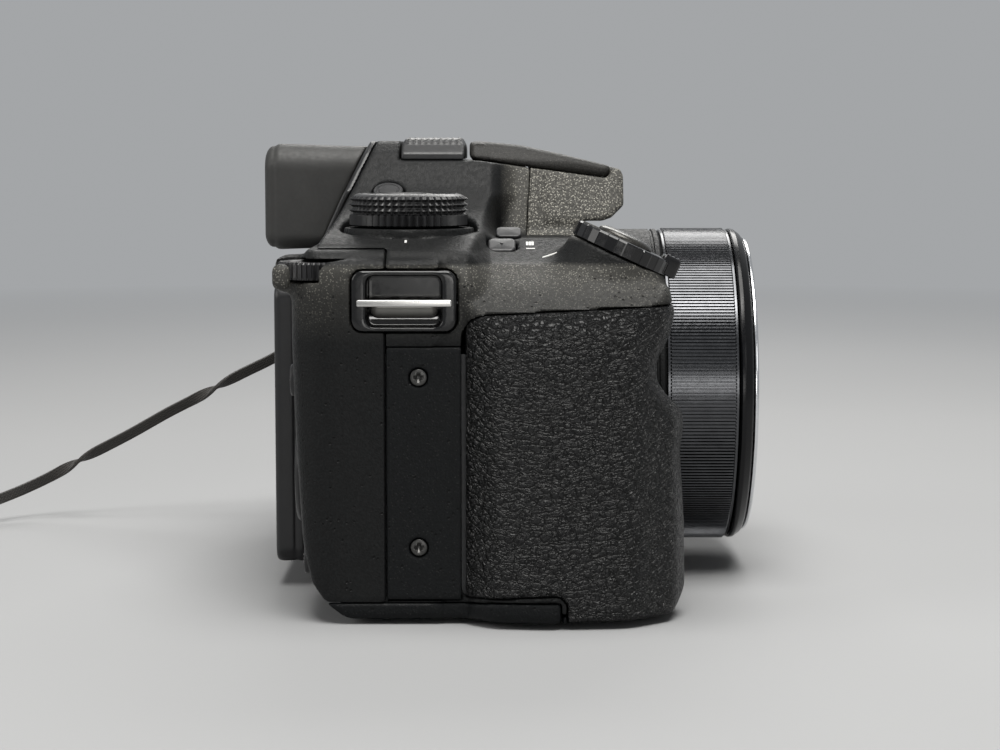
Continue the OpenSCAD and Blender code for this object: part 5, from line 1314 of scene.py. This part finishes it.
def make_key_marks():
    for word, lines in KEY_SIGNS.items():
        top = KEY_TOP[word] + KEY_DOME
        bars = [put(s, *REAR_KEYS[word]) for s in strokes(lines, 0.28, top - 0.12, top + 0.02)]
        piece(f"{word}_button_sign", bars, "mark", None, f"{word}_button")
    top = KEY_TOP["movie"] + KEY_DOME
    dot = prism(disc(1.3, 32), top - 0.1, top + 0.03, 0, 0.02)
    piece("movie_button_dot", put(dot, *REAR_KEYS["movie"]), "red_mark", None, "movie_button")
    bars = []
    for c, s in ((1, 0), (0, 1), (-1, 0), (0, -1)):
        arrow = [(r * c - side * s, r * s + side * c) for r, side in ((7.2, 0.7), (8.1, 0), (7.2, -0.7))]
        bars += [put(q, *PAD) for q in strokes([arrow], 0.25, PAD_Y + 0.6, PAD_Y + 0.92)]
    piece("control_pad_signs", bars, "mark", None, "control_pad")


def make_deck_marks():
    """Painted lines laid on the upper deck, beside the dial and the keys before it."""
    dx, dy = DIAL_AT
    marks = [[(dx - 13.6, dy), (dx - 12.4, dy)]]
    marks += [[(-47.0, -5.0 - 0.5 * k), (-45.6, -5.0 - 0.5 * k)] for k in range(3)]
    marks += [[(-53.6, -7.9), (-53.6, -10.1)], [(-48.9, -5.0), (-48.9, -6.2)]]
    parts = []
    for v, f in strokes(marks, 0.42, 0.0, 1.0):
        deck = np.array([surface(2, 54, 88, 0.04, (x, y, 0)) for x, y in v[:, :2]])
        v[:, 2] = deck + np.where(v[:, 2] > 0.5, 0.05, -0.15)
        parts.append((v, f))
    piece("deck_marks_white", parts, "mark")


make_dial_marks()
make_key_marks()
make_deck_marks()


# CAD nodes that stay, with their finishes

KEPT = {
    "chassis": "alu", "circuit_boards": "board", "image_sensor": "sensor", "variator": "element",
    "guide_rods": "screw", "finder_display": "screen", "battery": "pack", "memory_card": "pack",
    "flash_capacitor": "gloss", "flash_head": "flash", "door_pin": "steel", "monitor_pins": "steel",
    "monitor_panel": "screen", "monitor_arm": "satin", "socket_block": "steel", "tripod_socket": "steel",
}
for name, mat in KEPT.items():
    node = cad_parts[name]
    if node.material_slots:
        for slot in node.material_slots:
            slot.material = M[mat]
    else:
        node.data.materials.append(M[mat])


# Floor and light, in metres

BACKDROP, SKY, SKY_STRENGTH = (0.37, 0.38, 0.39), (0.55, 0.56, 0.58), 0.08
FLOOR_HALF, FLOOR_Z = 6.0, -0.0003
LIGHT_COLOR = (1.0, 0.985, 0.955)
# Name, place, point aimed at, width, height, power
LIGHTS = (
    ("light_over", (-0.16, -0.06, 0.80), (-0.02, 0.0, 0.05), 0.55, 0.55, 6.6),
    ("light_key", (-0.38, -0.05, 0.72), (-0.02, 0.0, 0.06), 0.40, 0.24, 1.9),
    ("light_side", (-0.80, -0.45, 0.42), (0.0, 0.0, 0.05), 0.30, 0.30, 0.35),
    ("light_low", (-0.78, -0.10, 0.10), (0.0, -0.04, 0.04), 0.30, 0.17, 0.5),
    ("light_far", (0.70, -0.08, 0.60), (0.0, -0.02, 0.05), 0.50, 0.40, 3.0),
    ("light_back", (-0.30, 0.80, 0.45), (0.0, 0.03, 0.04), 0.60, 0.50, 2.2),
)


def looked_at(tree):
    """One where a camera ray, a reflection or a ray through glass meets the surface."""
    path = tree.nodes.new("ShaderNodeLightPath")
    sure = path.outputs["Is Camera Ray"]
    for kind in ("Is Glossy Ray", "Is Transmission Ray"):
        either = tree.nodes.new("ShaderNodeMath")
        either.operation = "MAXIMUM"
        tree.links.new(sure, either.inputs[0])
        tree.links.new(path.outputs[kind], either.inputs[1])
        sure = either.outputs[0]
    return sure


def make_floor():
    """Pale floor that fades into the backdrop away from the camera."""
    g = Graph("floor_pale_grey", (0.40, 0.404, 0.41), 0.75, spec=0.2)
    g.shade(Base_Color=g.ramp(g.noise(3.0), [(0.3, (0.392, 0.397, 0.404)), (0.7, (0.415, 0.42, 0.427))]))
    glow = g.add("ShaderNodeEmission", Color=(*BACKDROP, 1))
    far = g.add("ShaderNodeVectorMath", {"operation": "LENGTH"}, i0=g.at).outputs["Value"]
    seen = g.math("MULTIPLY", g.ramp(far, [(0.28, 0.0), (0.95, 1.0)]), looked_at(g.tree))
    mix = g.add("ShaderNodeMixShader", i0=seen, i1=g.shader.outputs[0], i2=glow.outputs[0])
    g.feed(g.tree.nodes["Material Output"], Surface=mix.outputs[0])
    me = bpy.data.meshes.new("studio_floor")
    s = FLOOR_HALF
    me.from_pydata([(x, y, FLOOR_Z) for x, y in ((-s, -s), (s, -s), (s, s), (-s, s))], [], [[0, 1, 2, 3]])
    me.materials.append(g.mat)
    floor = bpy.data.objects.new("studio_floor", me)
    scene.collection.objects.link(floor)


def make_world():
    """Backdrop where it is looked at, a faint sky light elsewhere."""
    world = scene.world or bpy.data.worlds.new("studio")
    scene.world = world
    world.use_nodes = True
    tree = world.node_tree
    tree.nodes.clear()
    out = tree.nodes.new("ShaderNodeOutputWorld")
    mix = tree.nodes.new("ShaderNodeMixShader")
    tree.links.new(looked_at(tree), mix.inputs[0])
    for k, color, strength in ((1, SKY, SKY_STRENGTH), (2, BACKDROP, 1.0)):
        light = tree.nodes.new("ShaderNodeBackground")
        light.inputs["Color"].default_value = (*color, 1)
        light.inputs["Strength"].default_value = strength
        tree.links.new(light.outputs[0], mix.inputs[k])
    tree.links.new(mix.outputs[0], out.inputs["Surface"])


def make_lights():
    for name, at, aim, wide, tall, power in LIGHTS:
        data = bpy.data.lights.new(name, "AREA")
        data.shape = "RECTANGLE"
        data.size, data.size_y, data.energy, data.color = wide, tall, power, LIGHT_COLOR
        light = bpy.data.objects.new(name, data)
        light.location = at
        light.visible_camera = False
        light.rotation_mode = "QUATERNION"
        light.rotation_quaternion = (Vector(aim) - Vector(at)).to_track_quat("-Z", "Y")
        scene.collection.objects.link(light)


make_floor()
make_world()
make_lights()
scene.view_settings.view_transform = "Standard"
bpy.context.view_layer.update()
